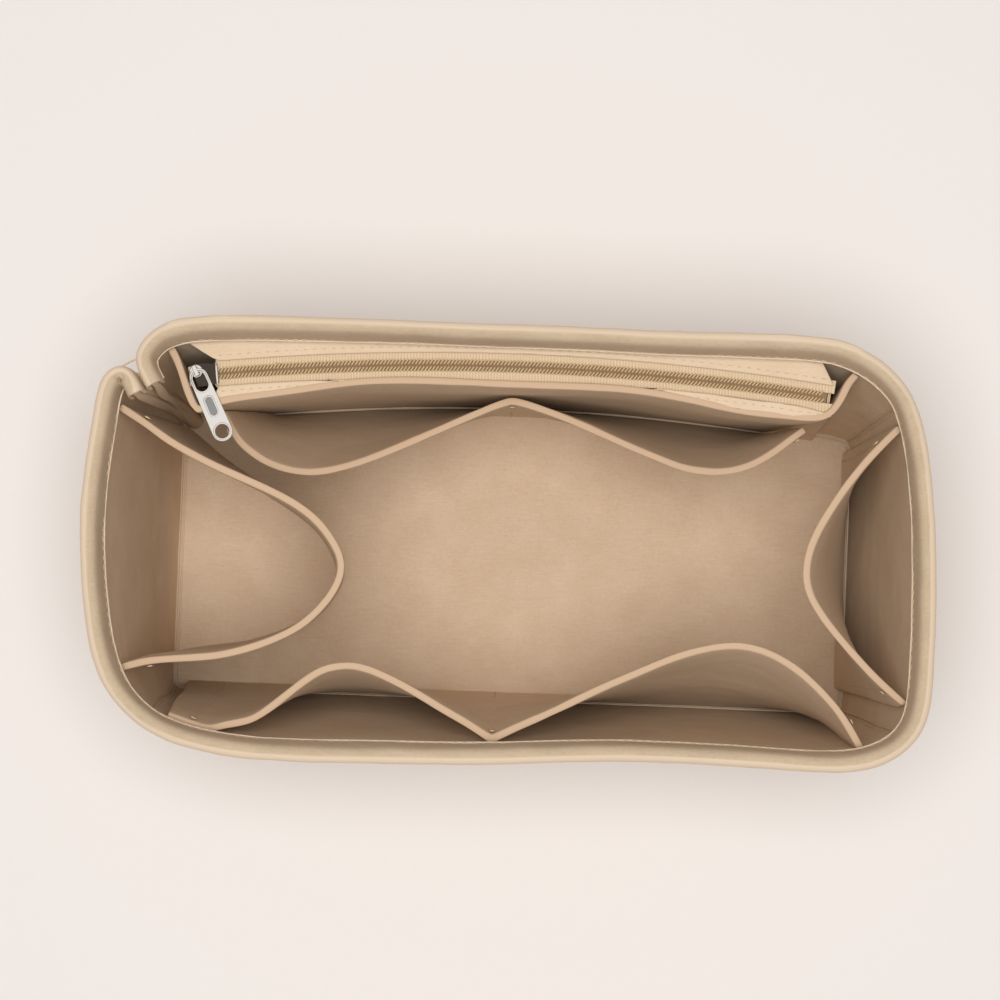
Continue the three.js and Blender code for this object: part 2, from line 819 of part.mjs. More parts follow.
// The pull in its own frame: its end bar lies in the arch at the origin and its tip is at +X.
function pull() {
  const back = pullEyeBar / 2;
  const quarter = Math.PI / 2;
  const eyeHalf = pullEyeWidth / 2;
  const eyeNear = back + eyeHalf;
  const eyeFar = back + pullEyeLength - eyeHalf;
  const neck = pullNeckWidth / 2;
  const outline = [
    ...arcPoints(neck - back, neck, quarter, 3 * quarter, 2 * roundSteps),
    ...arcPoints(pullReach, pullTipRadius, -quarter, quarter, 2 * roundSteps),
  ];
  const eye = [
    ...arcPoints(eyeNear, eyeHalf, quarter, 3 * quarter, 2 * roundSteps),
    ...arcPoints(eyeFar, eyeHalf, -quarter, quarter, 2 * roundSteps),
  ];
  const hole = arcPoints(pullReach, pullHoleRadius, 0, 2 * Math.PI, 4 * roundSteps).slice(1);
  return slab(outline, pullLow, pullThickness, [new THREE.Path(eye), new THREE.Path(hole)]);
}

const rearCarrier = panelCarrier('rear');
const pouch = pocketWall({
  carrier: rearCarrier,
  bays: [pouchShares],
  reaches: [pouchReach],
  endShares: pouchEndShares,
  seamShares: [],
  top: pouchTop,
  footShare: seamedFootShare,
});
const leftPocket = pocketWall({
  carrier: panelCarrier('left'),
  bays: [leftPocketShares],
  reaches: [leftPocketReach],
  endShares: leftPocketEndShares,
  seamShares: [],
  top: pocketTop,
  footShare: leftPocketFootShare,
});
const rightPocket = pocketWall({
  carrier: panelCarrier('right'),
  bays: [rightPocketShares],
  reaches: [rightPocketReach],
  endShares: rightPocketEndShares,
  seamShares: [],
  top: pocketTop,
  footShare: seamedFootShare,
});
const frontPocket = pocketWall({
  carrier: panelCarrier('front'),
  bays: [frontRightPocketShares, frontLeftPocketShares],
  reaches: [frontRightReach, frontLeftReach],
  endShares: frontPocketEndShares,
  seamShares: [frontPocketSeamShare],
  top: pocketTop,
  footShare: seamedFootShare,
});
const pouchCarrier = carrierOf((t, z, offset) => pouch.placeAt(0, t, z, offset), pouchTop);
const rearPocket = pocketWall({
  carrier: pouchCarrier,
  bays: [rearLeftPocketShares, rearRightPocketShares],
  reaches: [rearLeftReach, rearRightReach],
  endShares: rearPocketEndShares,
  seamShares: [rearPocketSeamShare],
  top: rearPocketTop,
  footShare: seamedFootShare,
});

// A bar of thread, upright at a place in plan, that faces the given way.
function threadBar(place, face, low, length, width, thickness) {
  const along = new THREE.Vector3(face.y, -face.x, 0);
  const section = [
    [-thickness / 2, low],
    [thickness / 2, low],
    [thickness / 2, low + length],
    [-thickness / 2, low + length],
  ];
  return sweep(2, section, (station, across, z) => place(z)
    .addScaledVector(along, (station - 1 / 2) * width)
    .addScaledVector(face, across)
    .setZ(z));
}

// A bar tack near a pocket wall's top, on its inner face. t is where along the bay it stands.
function tackOn(wall, bay, t, top) {
  const isSeam = t === 1;
  const out = felt / 2 + seamGap * (isSeam ? 2 : 1) + tackThickness / 2;
  const place = (z) => wall.placeAt(bay, t, z, -out);
  const face = wall.placeAt(bay, t, top, 1).sub(wall.placeAt(bay, t, top, 0)).setZ(0).normalize();
  return threadBar(place, face, top - tackInset - tackLength, tackLength, tackWidth, tackThickness);
}

// The thread bar that holds the pinched corner's folds together at the rim.
function cornerTack() {
  const { rim, inward } = pinchAt(height);
  const place = () => rim.clone().addScaledVector(inward, pinchDepth * cornerTackShare);
  const low = height - cornerTackDrop - tackWidth;
  return threadBar(place, inward, low, tackWidth, cornerTackLength, tackThickness);
}

const object = new THREE.Group();

function add(name, geometry, finish, parent = object) {
  const mesh = new THREE.Mesh(geometry, finish);
  mesh.name = name;
  parent.add(mesh);
  return mesh;
}

add('base_panel', basePanel(), panelFelt);
add('rear_panel', wallPanel('rear'), panelFelt);
add('right_end_panel', wallPanel('right'), panelFelt);
add('front_panel', wallPanel('front'), panelFelt);
add('left_end_panel', wallPanel('left'), panelFelt);
add('rim_binding', rimBinding(), bindingCloth);

add('zip_pouch_wall', pouch.geometry, pocketFelt);
add('left_pocket_wall', leftPocket.geometry, pocketFelt);
add('right_pocket_wall', rightPocket.geometry, pocketFelt);
add('front_pocket_wall', frontPocket.geometry, pocketFelt);
add('rear_pocket_wall', rearPocket.geometry, pocketFelt);

const atRearWall = (along) => rearCarrier(along, flangeLow, felt / 2 + pocketGap);
const atPouchFace = (along) => pouchCarrier(along, pouchTop, felt / 2);
add('zip_flange_rear', zipFlange(1, atRearWall, rearFlangeEndShares), pocketFelt);
add('zip_flange_front', zipFlange(-1, atPouchFace, frontFlangeEndShares), pocketFelt);

add('zip_tape_rear', tape(1), zipTapeCloth);
add('zip_tape_front', tape(-1), zipTapeCloth);
add('zip_coil_rear', coil(1), coilNylon);
add('zip_coil_front', coil(-1), coilNylon);
add('zip_stop_left', zipStop(coilStart, -1), thread);
add('zip_stop_right', zipStop(coilEnd, 1), thread);

// The slider rides on the arc, and carries the crown, which carries the pull.
const slider = new THREE.Group();
const sliderPlace = zipPoint(sliderRest, 0);
slider.position.set(sliderPlace.x, sliderPlace.y, 0);
slider.rotation.z = -sliderRest / zipRadius;
object.add(slider);
add('zip_slider', sliderBody(), plate, slider).position.z = zipLevel;

const turn = new THREE.Group();
turn.position.set(-crownSetback, crownOffset, 0);
turn.rotation.z = pullHeading - slider.rotation.z;
slider.add(turn);
add('zip_crown', crown(), plate, turn);
add('zip_pull', pull(), plate, turn);

add('corner_tack', cornerTack(), thread);
const tacks = [
  ['left_pocket_tack_rear', leftPocket, 0, 1 - tackShare, pocketTop],
  ['left_pocket_tack_front', leftPocket, 0, tackShare, pocketTop],
  ['right_pocket_tack_rear', rightPocket, 0, tackShare, pocketTop],
  ['right_pocket_tack_front', rightPocket, 0, 1 - tackShare, pocketTop],
  ['front_pocket_tack_right', frontPocket, 0, tackShare, pocketTop],
  ['front_pocket_tack_middle', frontPocket, 0, 1, pocketTop],
  ['front_pocket_tack_left', frontPocket, 1, 1 - tackShare, pocketTop],
  ['rear_pocket_tack_left', rearPocket, 0, tackShare, rearPocketTop],
  ['rear_pocket_tack_middle', rearPocket, 0, 1, rearPocketTop],
  ['rear_pocket_tack_right', rearPocket, 1, 1 - tackShare, rearPocketTop],
];
for (const [name, wall, bay, t, top] of tacks) {
  add(name, tackOn(wall, bay, t, top), thread);
}

export default object;
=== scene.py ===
"""A purse organizer insert: an open box of pressed felt with a bound rim, bowed pocket walls
on every side and a zipped pouch along its rear wall, seen from nearly straight above."""

import json
import math
from contextlib import contextmanager

import bpy
import numpy as np
from mathutils import Matrix, Vector, kdtree, noise


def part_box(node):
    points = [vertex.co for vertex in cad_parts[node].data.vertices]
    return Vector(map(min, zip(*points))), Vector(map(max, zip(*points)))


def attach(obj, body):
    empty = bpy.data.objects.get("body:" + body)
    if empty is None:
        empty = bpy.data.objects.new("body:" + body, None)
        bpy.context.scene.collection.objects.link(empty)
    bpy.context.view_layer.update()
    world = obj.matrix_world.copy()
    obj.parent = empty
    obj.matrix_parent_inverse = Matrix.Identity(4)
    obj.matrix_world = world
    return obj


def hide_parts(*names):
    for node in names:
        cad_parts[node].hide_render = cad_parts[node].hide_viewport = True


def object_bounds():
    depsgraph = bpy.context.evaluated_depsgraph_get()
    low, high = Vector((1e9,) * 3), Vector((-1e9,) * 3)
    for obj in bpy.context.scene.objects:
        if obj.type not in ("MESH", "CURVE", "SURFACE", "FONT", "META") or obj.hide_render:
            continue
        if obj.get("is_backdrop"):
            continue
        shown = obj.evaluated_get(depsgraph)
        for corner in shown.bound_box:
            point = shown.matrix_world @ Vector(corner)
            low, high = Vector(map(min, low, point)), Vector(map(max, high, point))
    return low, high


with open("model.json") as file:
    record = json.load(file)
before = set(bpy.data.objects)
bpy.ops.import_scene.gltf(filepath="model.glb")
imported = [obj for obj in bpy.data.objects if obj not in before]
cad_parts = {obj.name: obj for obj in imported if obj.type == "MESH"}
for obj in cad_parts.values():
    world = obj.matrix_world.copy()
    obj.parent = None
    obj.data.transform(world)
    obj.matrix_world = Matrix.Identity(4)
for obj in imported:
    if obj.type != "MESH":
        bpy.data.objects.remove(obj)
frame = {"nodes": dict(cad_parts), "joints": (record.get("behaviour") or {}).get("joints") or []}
cad_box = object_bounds()

MM = 0.001

# The view: where the camera stands, the point below it and the point that it looks at.
CAMERA_HEIGHT = 1280 * MM
CAMERA_FOOT = (0.2 * MM, -8.2 * MM)
CAMERA_AIM = (-5.8 * MM, 25.1 * MM)
CAMERA_ROLL = math.radians(2.2)
CAMERA_LENS = 116.9

# Felt: its sheet thickness, the rounding of its cut edges, how deep the painted highlight along a cut
# edge goes and over what depth it fades, and how far the pouch wall stands up past the flange.
FELT = 2.8 * MM
EDGE_ROUND = 0.75 * MM
BINDING_ROUND = 0.5 * MM
HIGHLIGHT_DEPTH = 1.2 * MM
HIGHLIGHT_BLEND = 0.4 * HIGHLIGHT_DEPTH
POUCH_LIP = 0.35 * MM

# Meshes: the pitch of the rows cut across a sheet, the distance within which points are one, and the
# angles past which an edge of felt or plate and an edge of a casting count as sharp.
ROW_PITCH = 12 * MM
MERGE = 0.01 * MM
SHARP = math.radians(50)
CAST_SHARP = math.radians(30)

# Sections of a sheet: the turn of its square corners, and the least run that is a face of it.
SQUARE_TURN = math.radians(40)
LEAST_RUN = 3 * FELT

# How far hand sewing pulls the felt out of true, and over what length. The seed makes each run the
# same.
WAVE_SEED = 4
WAVE_REACH = 0.8 * MM
WAVE_LENGTH = 55 * MM
LUMP_REACH = 0.16 * MM
LUMP_LENGTH = 9 * MM
BINDING_LUMPS = 0.25 * MM

# The binding's outer lip, painted paler as a painted highlight where the fold's edge catches the
# light:
# where it starts and over what share it fades, as shares of the way across the rim, and the step at
# which the way across is measured.
LIP_START = 0.58
LIP_BLEND = 0.07
LIP_STEP = 0.4 * MM

# Stitches, as long as they show, and the gap from one to the next.
STITCH_LENGTH = 2.4 * MM
STITCH_GAP = 0.9 * MM
THREAD_RADIUS = 0.28 * MM
BINDING_STITCH_RISE = 2.3 * MM

# The pinched corner: how far stitches keep clear of it, and the roll of felt that closes it. Where
# the walls' ends lie further apart the roll swells, to more than the gap needs and up to a limit.
PINCH_CLEAR = 17 * MM
PINCH_ROLL = 1.2 * MM
PINCH_ROLL_INSET = 3 * MM
PINCH_SWELL = 2.7
PINCH_OVERLAP = 0.8

# Seams: the cord along the binding's edge, and the ridges beside the walls' seams.
EDGE_CORD_RADIUS = 0.4 * MM
WELT_RADIUS = 0.42 * MM
WELT_SPREAD = 1.4 * MM
SEAM_STEP = 9 * MM

# Bar tacks: the pitch, thickness and lean of their turns, and how far they reach past their solids.
TACK_TURN = 0.5 * MM
TACK_RADIUS = 0.3 * MM
TACK_TILT = 0.12
TACK_REACH = 0.5 * MM
CORNER_TACK_REACH = 4.5 * MM

# The coil: its turns of wire, which lean by a share of their pitch and have blunt ends, and the cord
# inside them, as a share of the solid's height.
COIL_HALF_WIDTH = 2.3 * MM
COIL_PITCH = 1.25 * MM
COIL_LEAN = 0.75
COIL_WIRE = 0.31 * MM
COIL_TIP = 0.33 * MM
WIRE_BLUNT = 0.6
CORD_SHARE = 0.62

# The tape, its ribs and its narrow end, and the stops, whose turns lie at shares of their length.
TAPE_UNDER_COIL = 0.5 * MM
TAPE_ROUND = 0.12 * MM
RIB_PITCH = 1.05 * MM
RIB_RADIUS = 0.2 * MM
RIB_LENGTH = 4 * MM
RIB_SINK = 0.05 * MM
NARROW_RUN = 10 * MM
NARROW_HALF_WIDTH = 3.4 * MM
STOP_RADIUS = 0.3 * MM
STOP_TURNS = (0.2, 0.8)

# The slot over the zip, the band within which a point lies on its edge, and the flanges beside it.
# The front flange keeps a least width. Where it would be hardly wider than the felt of the pouch
# wall, it is tucked into that wall.
SLOT_HALF_WIDTH = 4.4 * MM
SLOT_EDGE = 0.1 * MM
FLANGE_ROUND = 0.5 * MM
FLANGE_STITCH_INSET = 1.9 * MM
STITCH_SINK = 0.2 * MM
FLANGE_LEAST = 2.2 * MM
FLANGE_TUCK = 1 * MM
TUCK_FROM = 0.6 * MM

# Slider and pull: the rounding of their arrises, the rib across the slider's tail, and the pull's
# hole, eye, raised rims and sunk panel, with the distance from the eye's end to the hole.
METAL_ROUND = 0.22 * MM
TAIL_RIB_LENGTH = 9 * MM
TAIL_RIB_RADIUS = 0.5 * MM
PULL_REACH = 23.2 * MM
PULL_HOLE_RADIUS = 2.45 * MM
PULL_TIP_RADIUS = 3.6 * MM
PULL_EYE_WIDTH = 4.4 * MM
PULL_EYE_LENGTH = 6.9 * MM
PULL_EYE_BAR = 1.5 * MM
PULL_BEAD = 0.36 * MM
PULL_PANEL_WIDTH = 3.2 * MM
PULL_PANEL_LENGTH = 7.4 * MM
PULL_PANEL_DEPTH = 0.12 * MM

# The floor, the lamp, and what the world shows and sheds.
FLOOR_PAINT = "#EFEEEE"
FLOOR_SIZE = 8
FLOOR_DROP = 0.4 * MM
LAMP_PLACE = (-0.03, -0.06, 1.9)
LAMP_COLOUR = "#FFFEFC"
LAMP_SIZE = 0.9
LAMP_POWER = 24.5
BACKDROP = "#F3EFEB"
AMBIENT = "#FFEFE2"
WORLD_LEVEL = 0.38

noise.seed_set(WAVE_SEED)
joints = {joint["name"]: joint for joint in frame["joints"]}


def place_camera():
    """The camera looks down from nearly straight above, turned a little."""
    spot = Vector((*CAMERA_FOOT, CAMERA_HEIGHT))
    ahead = (Vector((*CAMERA_AIM, 0)) - spot).normalized()
    top = Vector((-math.sin(CAMERA_ROLL), math.cos(CAMERA_ROLL), 0))
    right = ahead.cross(top).normalized()
    up = right.cross(ahead)
    camera = bpy.data.objects.new("camera", bpy.data.cameras.new("camera"))
    bpy.context.scene.collection.objects.link(camera)
    turn = Matrix((right, up, -ahead)).transposed().to_4x4()
    camera.matrix_world = Matrix.Translation(spot) @ turn
    camera.data.lens = CAMERA_LENS
    bpy.context.scene.camera = camera


place_camera()


def select_only(piece):
    """Selects one piece and makes it the active one."""
    bpy.ops.object.select_all(action="DESELECT")
    piece.select_set(True)
    bpy.context.view_layer.objects.active = piece


@contextmanager
def editing(piece):
    """Edit mode on one piece, with all of it selected."""
    select_only(piece)
    bpy.ops.object.mode_set(mode="EDIT")
    bpy.ops.mesh.select_all(action="SELECT")
    yield
    bpy.ops.object.mode_set(mode="OBJECT")


def settle(piece, name):
    """Names a new piece and puts its place into its mesh."""
    piece.name = piece.data.name = name
    select_only(piece)
    bpy.ops.object.transform_apply(location=True, rotation=True, scale=True)
    return piece


def modify(piece, kind, **settings):
    """Adds a modifier with its settings and applies it."""
    modifier = piece.modifiers.new(kind.lower(), kind)
    for name, value in settings.items():
        setattr(modifier, name, value)
    select_only(piece)
    bpy.ops.object.modifier_apply(modifier=modifier.name)


def copy_of(node, name):
    """A new piece that starts as a node's mesh, with its loose triangles made into quads."""
    piece = bpy.data.objects.new(name, frame["nodes"][node].data.copy())
    piece.data.materials.clear()
    bpy.context.scene.collection.objects.link(piece)
    with editing(piece):
        bpy.ops.mesh.customdata_custom_splitnormals_clear()
        bpy.ops.mesh.remove_doubles(threshold=MERGE)
        bpy.ops.mesh.tris_convert_to_quads()
    return piece


def dress(piece, material, body="root", replaces=()):
    """Gives a finished piece its material, the body that it rides on and the nodes it stands for."""
    piece.data.materials.clear()
    piece.data.materials.append(material)
    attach(piece, body)
    if replaces:
        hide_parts(*replaces)
    return piece


def copies(master, places, name):
    """One mesh of many copies of a modelled piece, a copy at each place. The master goes."""
    points = np.array([vertex.co[:] for vertex in master.data.vertices])
    faces = [list(face.vertices) for face in master.data.polygons]
    all_points, all_faces = [], []
    for place in places:
        turn = np.array(place)
        start = len(all_points) * len(points)
        all_points.append(points @ turn[:3, :3].T + turn[:3, 3])
        all_faces += [[start + index for index in face] for face in faces]
    mesh = bpy.data.meshes.new(name)
    mesh.from_pydata(np.concatenate(all_points).tolist(), [], all_faces)
    mesh.shade_smooth()
    bpy.data.objects.remove(master)
    piece = bpy.data.objects.new(name, mesh)
    bpy.context.scene.collection.objects.link(piece)
    return piece


def joined(name, *pieces):
    """Several pieces as one."""
    select_only(pieces[0])
    for piece in pieces[1:]:
        piece.select_set(True)
    bpy.ops.object.join()
    pieces[0].name = pieces[0].data.name = name
    return pieces[0]


def wave(spot):
    """How far the hand-sewn felt lies out of true at a place. Near the floor it lies flat."""
    lift = min(1.0, spot.z / WAVE_LENGTH)
    return noise.noise_vector(spot / WAVE_LENGTH) * WAVE_REACH * lift


def pull_out_of_true(piece, lumps=LUMP_REACH):
    """Moves a soft piece with the wave of the whole box, and raises small lumps on it."""
    mesh = piece.data
    before = [(vertex.co.copy(), vertex.normal.copy()) for vertex in mesh.vertices]
    after = [
        spot + wave(spot) + normal * noise.noise(spot / LUMP_LENGTH) * lumps
        for spot, normal in before
    ]
    mesh.vertices.foreach_set("co", np.array(after).ravel())
    mesh.update()


def spots_of(node):
    """The places of a node's corners."""
    return [vertex.co for vertex in frame["nodes"][node].data.vertices]


def section(node, height):
    """Where a level plane cuts a node: each rail as a list of points, the inmost rail first."""
    spots = spots_of(node)
    links, places = {}, {}
    for face in frame["nodes"][node].data.polygons:
        corners = [spots[index] for index in face.vertices]
        ends = []
        for one, other in zip(corners, corners[1:] + corners[:1]):
            if (one.z > height) != (other.z > height):
                below, above = sorted((one, other), key=lambda spot: spot.z)
                point = below.lerp(above, (height - below.z) / (above.z - below.z))
                key = (round(point.x / MERGE), round(point.y / MERGE))
                places[key] = point
                ends.append(key)
        if len(ends) == 2 and ends[0] != ends[1]:
            links.setdefault(ends[0], []).append(ends[1])
            links.setdefault(ends[1], []).append(ends[0])
    rails = []
    unseen = set(links)
    while unseen:
        loop = [min(unseen)]
        unseen.discard(loop[0])
        while True:
            ahead = [key for key in links[loop[-1]] if key in unseen]
            if not ahead:
                break
            loop.append(ahead[0])
            unseen.discard(ahead[0])
        rails += rails_of([places[key] for key in loop])
    return sorted(rails, key=lambda rail: sum(spot.xy.length for spot in rail) / len(rail))


def rails_of(loop):
    """Splits a closed loop at its square corners, and keeps the runs that are faces of the sheet."""
    count = len(loop)
    corners = []
    for index in range(count):
        before = loop[index] - loop[index - 1]
        after = loop[(index + 1) % count] - loop[index]
        if before.length and after.length and before.angle(after) > SQUARE_TURN:
            corners.append(index)
    if len(corners) < 4:
        return [loop + loop[:1]]
    runs = []
    for number, first in enumerate(corners):
        last = corners[(number + 1) % len(corners)]
        run = loop[first : last + 1] if last > first else loop[first:] + loop[: last + 1]
        if sum((b - a).length for a, b in zip(run, run[1:])) > LEAST_RUN:
            runs.append(run)
    return runs


def inward_at(spot, along):
    """The level direction square to a wall at a place on it, towards the middle of the box."""
    side = Vector((along.y, -along.x, 0)).normalized()
    return side if side.dot(spot) < 0 else -side


def nearest_on(rail, spot):
    """The point of a rail nearest to a place, and the rail's direction there."""
    best = None
    for start, end in zip(rail, rail[1:]):
        run = end - start
        if not run.length:
            continue
        part = min(1.0, max(0.0, (spot - start).dot(run) / run.length_squared))
        point = start + run * part
        if best is None or (point - spot).length < (best[0] - spot).length:
            best = (point, run.normalized())
    return best


def stepped(points, pitch):
    """Places at an even pitch along a line of points, each with the line's direction there."""
    places, travelled, due = [], 0, pitch / 2
    for start, end in zip(points, points[1:]):
        span = (end - start).length
        while due <= travelled + span and span:
            part = (due - travelled) / span
            places.append((start.lerp(end, part), (end - start).normalized()))
            due += pitch
        travelled += span
    return places


def facing(spot, along, up=Vector((0, 0, 1))):
    """The place of a copy whose X runs along a direction."""
    side = up.cross(along).normalized()
    turn = Matrix((along, side, along.cross(side))).transposed().to_4x4()
    return Matrix.Translation(spot) @ turn


def cord_through(points, radius, name, swell=None):
    """A round welt through points, as a mesh. It can swell at each point."""
    curve = bpy.data.curves.new(name, "CURVE")
    curve.dimensions = "3D"
    curve.bevel_depth = radius
    curve.bevel_resolution = 2
    curve.use_fill_caps = True
    spline = curve.splines.new("POLY")
    spline.points.add(len(points) - 1)
    for point, spot, share in zip(spline.points, points, swell or [1] * len(points)):
        point.co = (*spot, 1)
        point.radius = share
    piece = bpy.data.objects.new(name, curve)
    bpy.context.scene.collection.objects.link(piece)
    select_only(piece)
    bpy.ops.object.convert(target="MESH")
    piece.data.shade_smooth()
    return piece


def thread_bar(length, radius):
    """One visible turn of thread, a round bar that tapers into the felt at both ends."""
    bpy.ops.mesh.primitive_uv_sphere_add(segments=8, ring_count=6, radius=1)
    bar = bpy.context.object
    bar.rotation_euler.y = math.pi / 2
    bar.scale = (radius, radius, length / 2)
    return settle(bar, "thread_bar")


def turns_of_thread(places, name, length=STITCH_LENGTH, radius=THREAD_RADIUS, replaces=()):
    """One piece of thread, with a visible turn of it at each place."""
    turns = copies(thread_bar(length, radius), places, name)
    return dress(turns, THREAD, replaces=replaces)


def stitches(points, name, clear_of):
    """A row of stitches along a level line of points. None lies near the pinched corner."""
    places = [
        facing(spot + wave(spot), along)
        for spot, along in stepped(points, STITCH_LENGTH + STITCH_GAP)
        if (spot.xy - clear_of).length > PINCH_CLEAR
    ]
    return turns_of_thread(places, name)


def linear(colour):
    """A colour written as an sRGB hex value, as linear red, green, blue and alpha."""
    parts = [int(colour[index : index + 2], 16) / 255 for index in (1, 3, 5)]
    return [
        part / 12.92 if part <= 0.04045 else ((part + 0.055) / 1.055) ** 2.4 for part in parts
    ] + [1]


def add(tree, kind, settings=(), **links):
    """Adds a node with its settings, and links its inputs by name or from another node's output."""
    node = tree.nodes.new(kind)
    for name, value in dict(settings).items():
        if isinstance(name, str) and hasattr(node, name):
            setattr(node, name, value)
        else:
            node.inputs[name].default_value = value
    for name, source in links.items():
        key = int(name[1:]) if name[0] == "_" else name.replace("_", " ")
        tree.links.new(source, node.inputs[key])
    return node


def new_material(name):
    """A material with its tree, its shader and the piece's own coordinates."""
    material = bpy.data.materials.new(name)
    material.use_nodes = True
    tree = material.node_tree
    shader = tree.nodes["Principled BSDF"]
    spot = add(tree, "ShaderNodeTexCoord").outputs["Object"]
    return material, tree, shader, spot


def fibres(tree, spot, turn, width, length):
    """Streaks of fibre that lie one way, as a noise drawn out along them."""
    scale = (1 / length, 1 / width, 1 / width)
    laid = add(tree, "ShaderNodeMapping", {"Rotation": turn, "Scale": scale}, Vector=spot)
    streak = add(tree, "ShaderNodeTexNoise", {"Scale": 1.0, "Detail": 2.0}, Vector=laid.outputs[0])
    return streak.outputs["Fac"]


def pressed_felt(name, dark, light, edge_highlight=None):
    """Needled polyester felt, pressed flat: matt, a little cloudy, with fibres that cross.
    The cloudiness is about 14 mm across and the fibre bundles 0.5 mm, coarser than single fibres,
    so that they show. Where the sheet is cut its edge can be painted paler, a painted highlight
    where the cut edge catches the light."""
    material, tree, shader, spot = new_material(name)
    cloud = add(tree, "ShaderNodeTexNoise", {"Scale": 1 / (14 * MM), "Detail": 3.0}, Vector=spot)
    grain = add(
        tree, "ShaderNodeTexNoise", {"Scale": 1 / (1.3 * MM), "Detail": 4.0, "Roughness": 0.65},
        Vector=spot,
    )
    one = fibres(tree, spot, (0.3, 0.9, 0.4), 0.5 * MM, 6 * MM)
    other = fibres(tree, spot, (1.2, -0.5, 2.0), 0.5 * MM, 5 * MM)
    crossed = add(tree, "ShaderNodeMath", {"operation": "MAXIMUM"}, _0=one, _1=other)
    nap = add(
        tree, "ShaderNodeMix", {"data_type": "FLOAT", 0: 0.5},
        _2=grain.outputs["Fac"], _3=crossed.outputs[0],
    )
    tone = add(
        tree, "ShaderNodeMix", {"data_type": "FLOAT", 0: 0.68},
        _2=cloud.outputs["Fac"], _3=nap.outputs[0],
    )
    ramp = add(tree, "ShaderNodeValToRGB", Fac=tone.outputs[0])
    for stop, position, shade in zip(ramp.color_ramp.elements, (0.36, 0.64), (dark, light)):
        stop.position = position
        stop.color = linear(shade)
    colour = ramp.outputs[0]
    # Painted highlight: the cut edges are mixed towards a paler colour, as where they catch the
    # light.
    if edge_highlight:
        edge = add(tree, "ShaderNodeAttribute", {"attribute_name": "edge_highlight"})
        paler = add(
            tree, "ShaderNodeMix", {"data_type": "RGBA", 7: linear(edge_highlight)},
            _0=edge.outputs["Fac"], _6=colour,
        )
        colour = paler.outputs[2]
    nap = nap.outputs[0]
    bump = add(tree, "ShaderNodeBump", {"Strength": 0.55, "Distance": 0.35 * MM}, Height=nap)
    tree.links.new(colour, shader.inputs["Base Color"])
    tree.links.new(bump.outputs[0], shader.inputs["Normal"])
    shader.inputs["Roughness"].default_value = 0.95
    shader.inputs["Specular IOR Level"].default_value = 0.15
    shader.inputs["Sheen Weight"].default_value = 0.2
    shader.inputs["Sheen Roughness"].default_value = 0.6
    shader.inputs["Sheen Tint"].default_value = linear("#F3E3CB")
    return material


def woven_tape(name, dark, light):
    """Woven polyester zip tape: matt, with a fine rib across it, about 1.1 mm from rib to rib."""
    material, tree, shader, spot = new_material(name)
    weave = add(
        tree, "ShaderNodeTexWave",
        {"bands_direction": "X", "Scale": 1 / (3.5 * MM), "Distortion": 1.5, "Detail": 2.0},
        Vector=spot,
    )
    warp = add(tree, "ShaderNodeTexNoise", {"Scale": 1 / (0.6 * MM), "Detail": 2.0}, Vector=spot)
    both = add(
        tree, "ShaderNodeMix", {"data_type": "FLOAT", 0: 0.5},
        _2=weave.outputs["Fac"], _3=warp.outputs["Fac"],
    ).outputs[0]
    ramp = add(tree, "ShaderNodeValToRGB", Fac=both)
    ramp.color_ramp.elements[0].color = linear(dark)
    ramp.color_ramp.elements[1].color = linear(light)
    bump = add(tree, "ShaderNodeBump", {"Strength": 0.4, "Distance": 0.15 * MM}, Height=both)
    tree.links.new(ramp.outputs[0], shader.inputs["Base Color"])
    tree.links.new(bump.outputs[0], shader.inputs["Normal"])
    shader.inputs["Roughness"].default_value = 0.85
    shader.inputs["Specular IOR Level"].default_value = 0.25
    return material


def dyed_nylon(name, dark, light):
    """Dyed nylon monofilament, drawn and heat-set: a soft gloss, with the dye a little uneven."""
    material, tree, shader, spot = new_material(name)
    dye = add(tree, "ShaderNodeTexNoise", {"Scale": 1 / (2 * MM), "Detail": 2.0}, Vector=spot)
    ramp = add(tree, "ShaderNodeValToRGB", Fac=dye.outputs["Fac"])
    ramp.color_ramp.elements[0].color = linear(dark)
    ramp.color_ramp.elements[1].color = linear(light)
    tree.links.new(ramp.outputs[0], shader.inputs["Base Color"])
    shader.inputs["Roughness"].default_value = 0.42
    return material


def sewing_thread(name, dark, light):
    """Spun polyester thread: matt, with a twist that shows as diagonal bands about 0.9 mm apart,
    coarser than the real twist, so that they show."""
    material, tree, shader, spot = new_material(name)
    twist = add(
        tree, "ShaderNodeTexWave",
        {"bands_direction": "DIAGONAL", "Scale": 1 / (2.5 * MM), "Distortion": 0.5}, Vector=spot,
    )
    ramp = add(tree, "ShaderNodeValToRGB", Fac=twist.outputs["Fac"])
    ramp.color_ramp.elements[0].color = linear(dark)
    ramp.color_ramp.elements[1].color = linear(light)
    tree.links.new(ramp.outputs[0], shader.inputs["Base Color"])
    shader.inputs["Roughness"].default_value = 0.8
    shader.inputs["Specular IOR Level"].default_value = 0.2
    return material


def plated_zinc(name, tint):
    """Die-cast zinc, polished and nickel plated: bright, with faint wear that dulls it in patches."""
    material, tree, shader, spot = new_material(name)
    wear = add(tree, "ShaderNodeTexNoise", {"Scale": 1 / (1.6 * MM), "Detail": 5.0}, Vector=spot)
    wear = wear.outputs["Fac"]
    shine = {"From Min": 0.4, "From Max": 0.75, "To Min": 0.12, "To Max": 0.34}
    dull = add(tree, "ShaderNodeMapRange", shine, Value=wear)
    bump = add(tree, "ShaderNodeBump", {"Strength": 0.12, "Distance": 0.05 * MM}, Height=wear)
    tree.links.new(dull.outputs[0], shader.inputs["Roughness"])
    tree.links.new(bump.outputs[0], shader.inputs["Normal"])
    shader.inputs["Base Color"].default_value = linear(tint)
    shader.inputs["Metallic"].default_value = 1
    return material
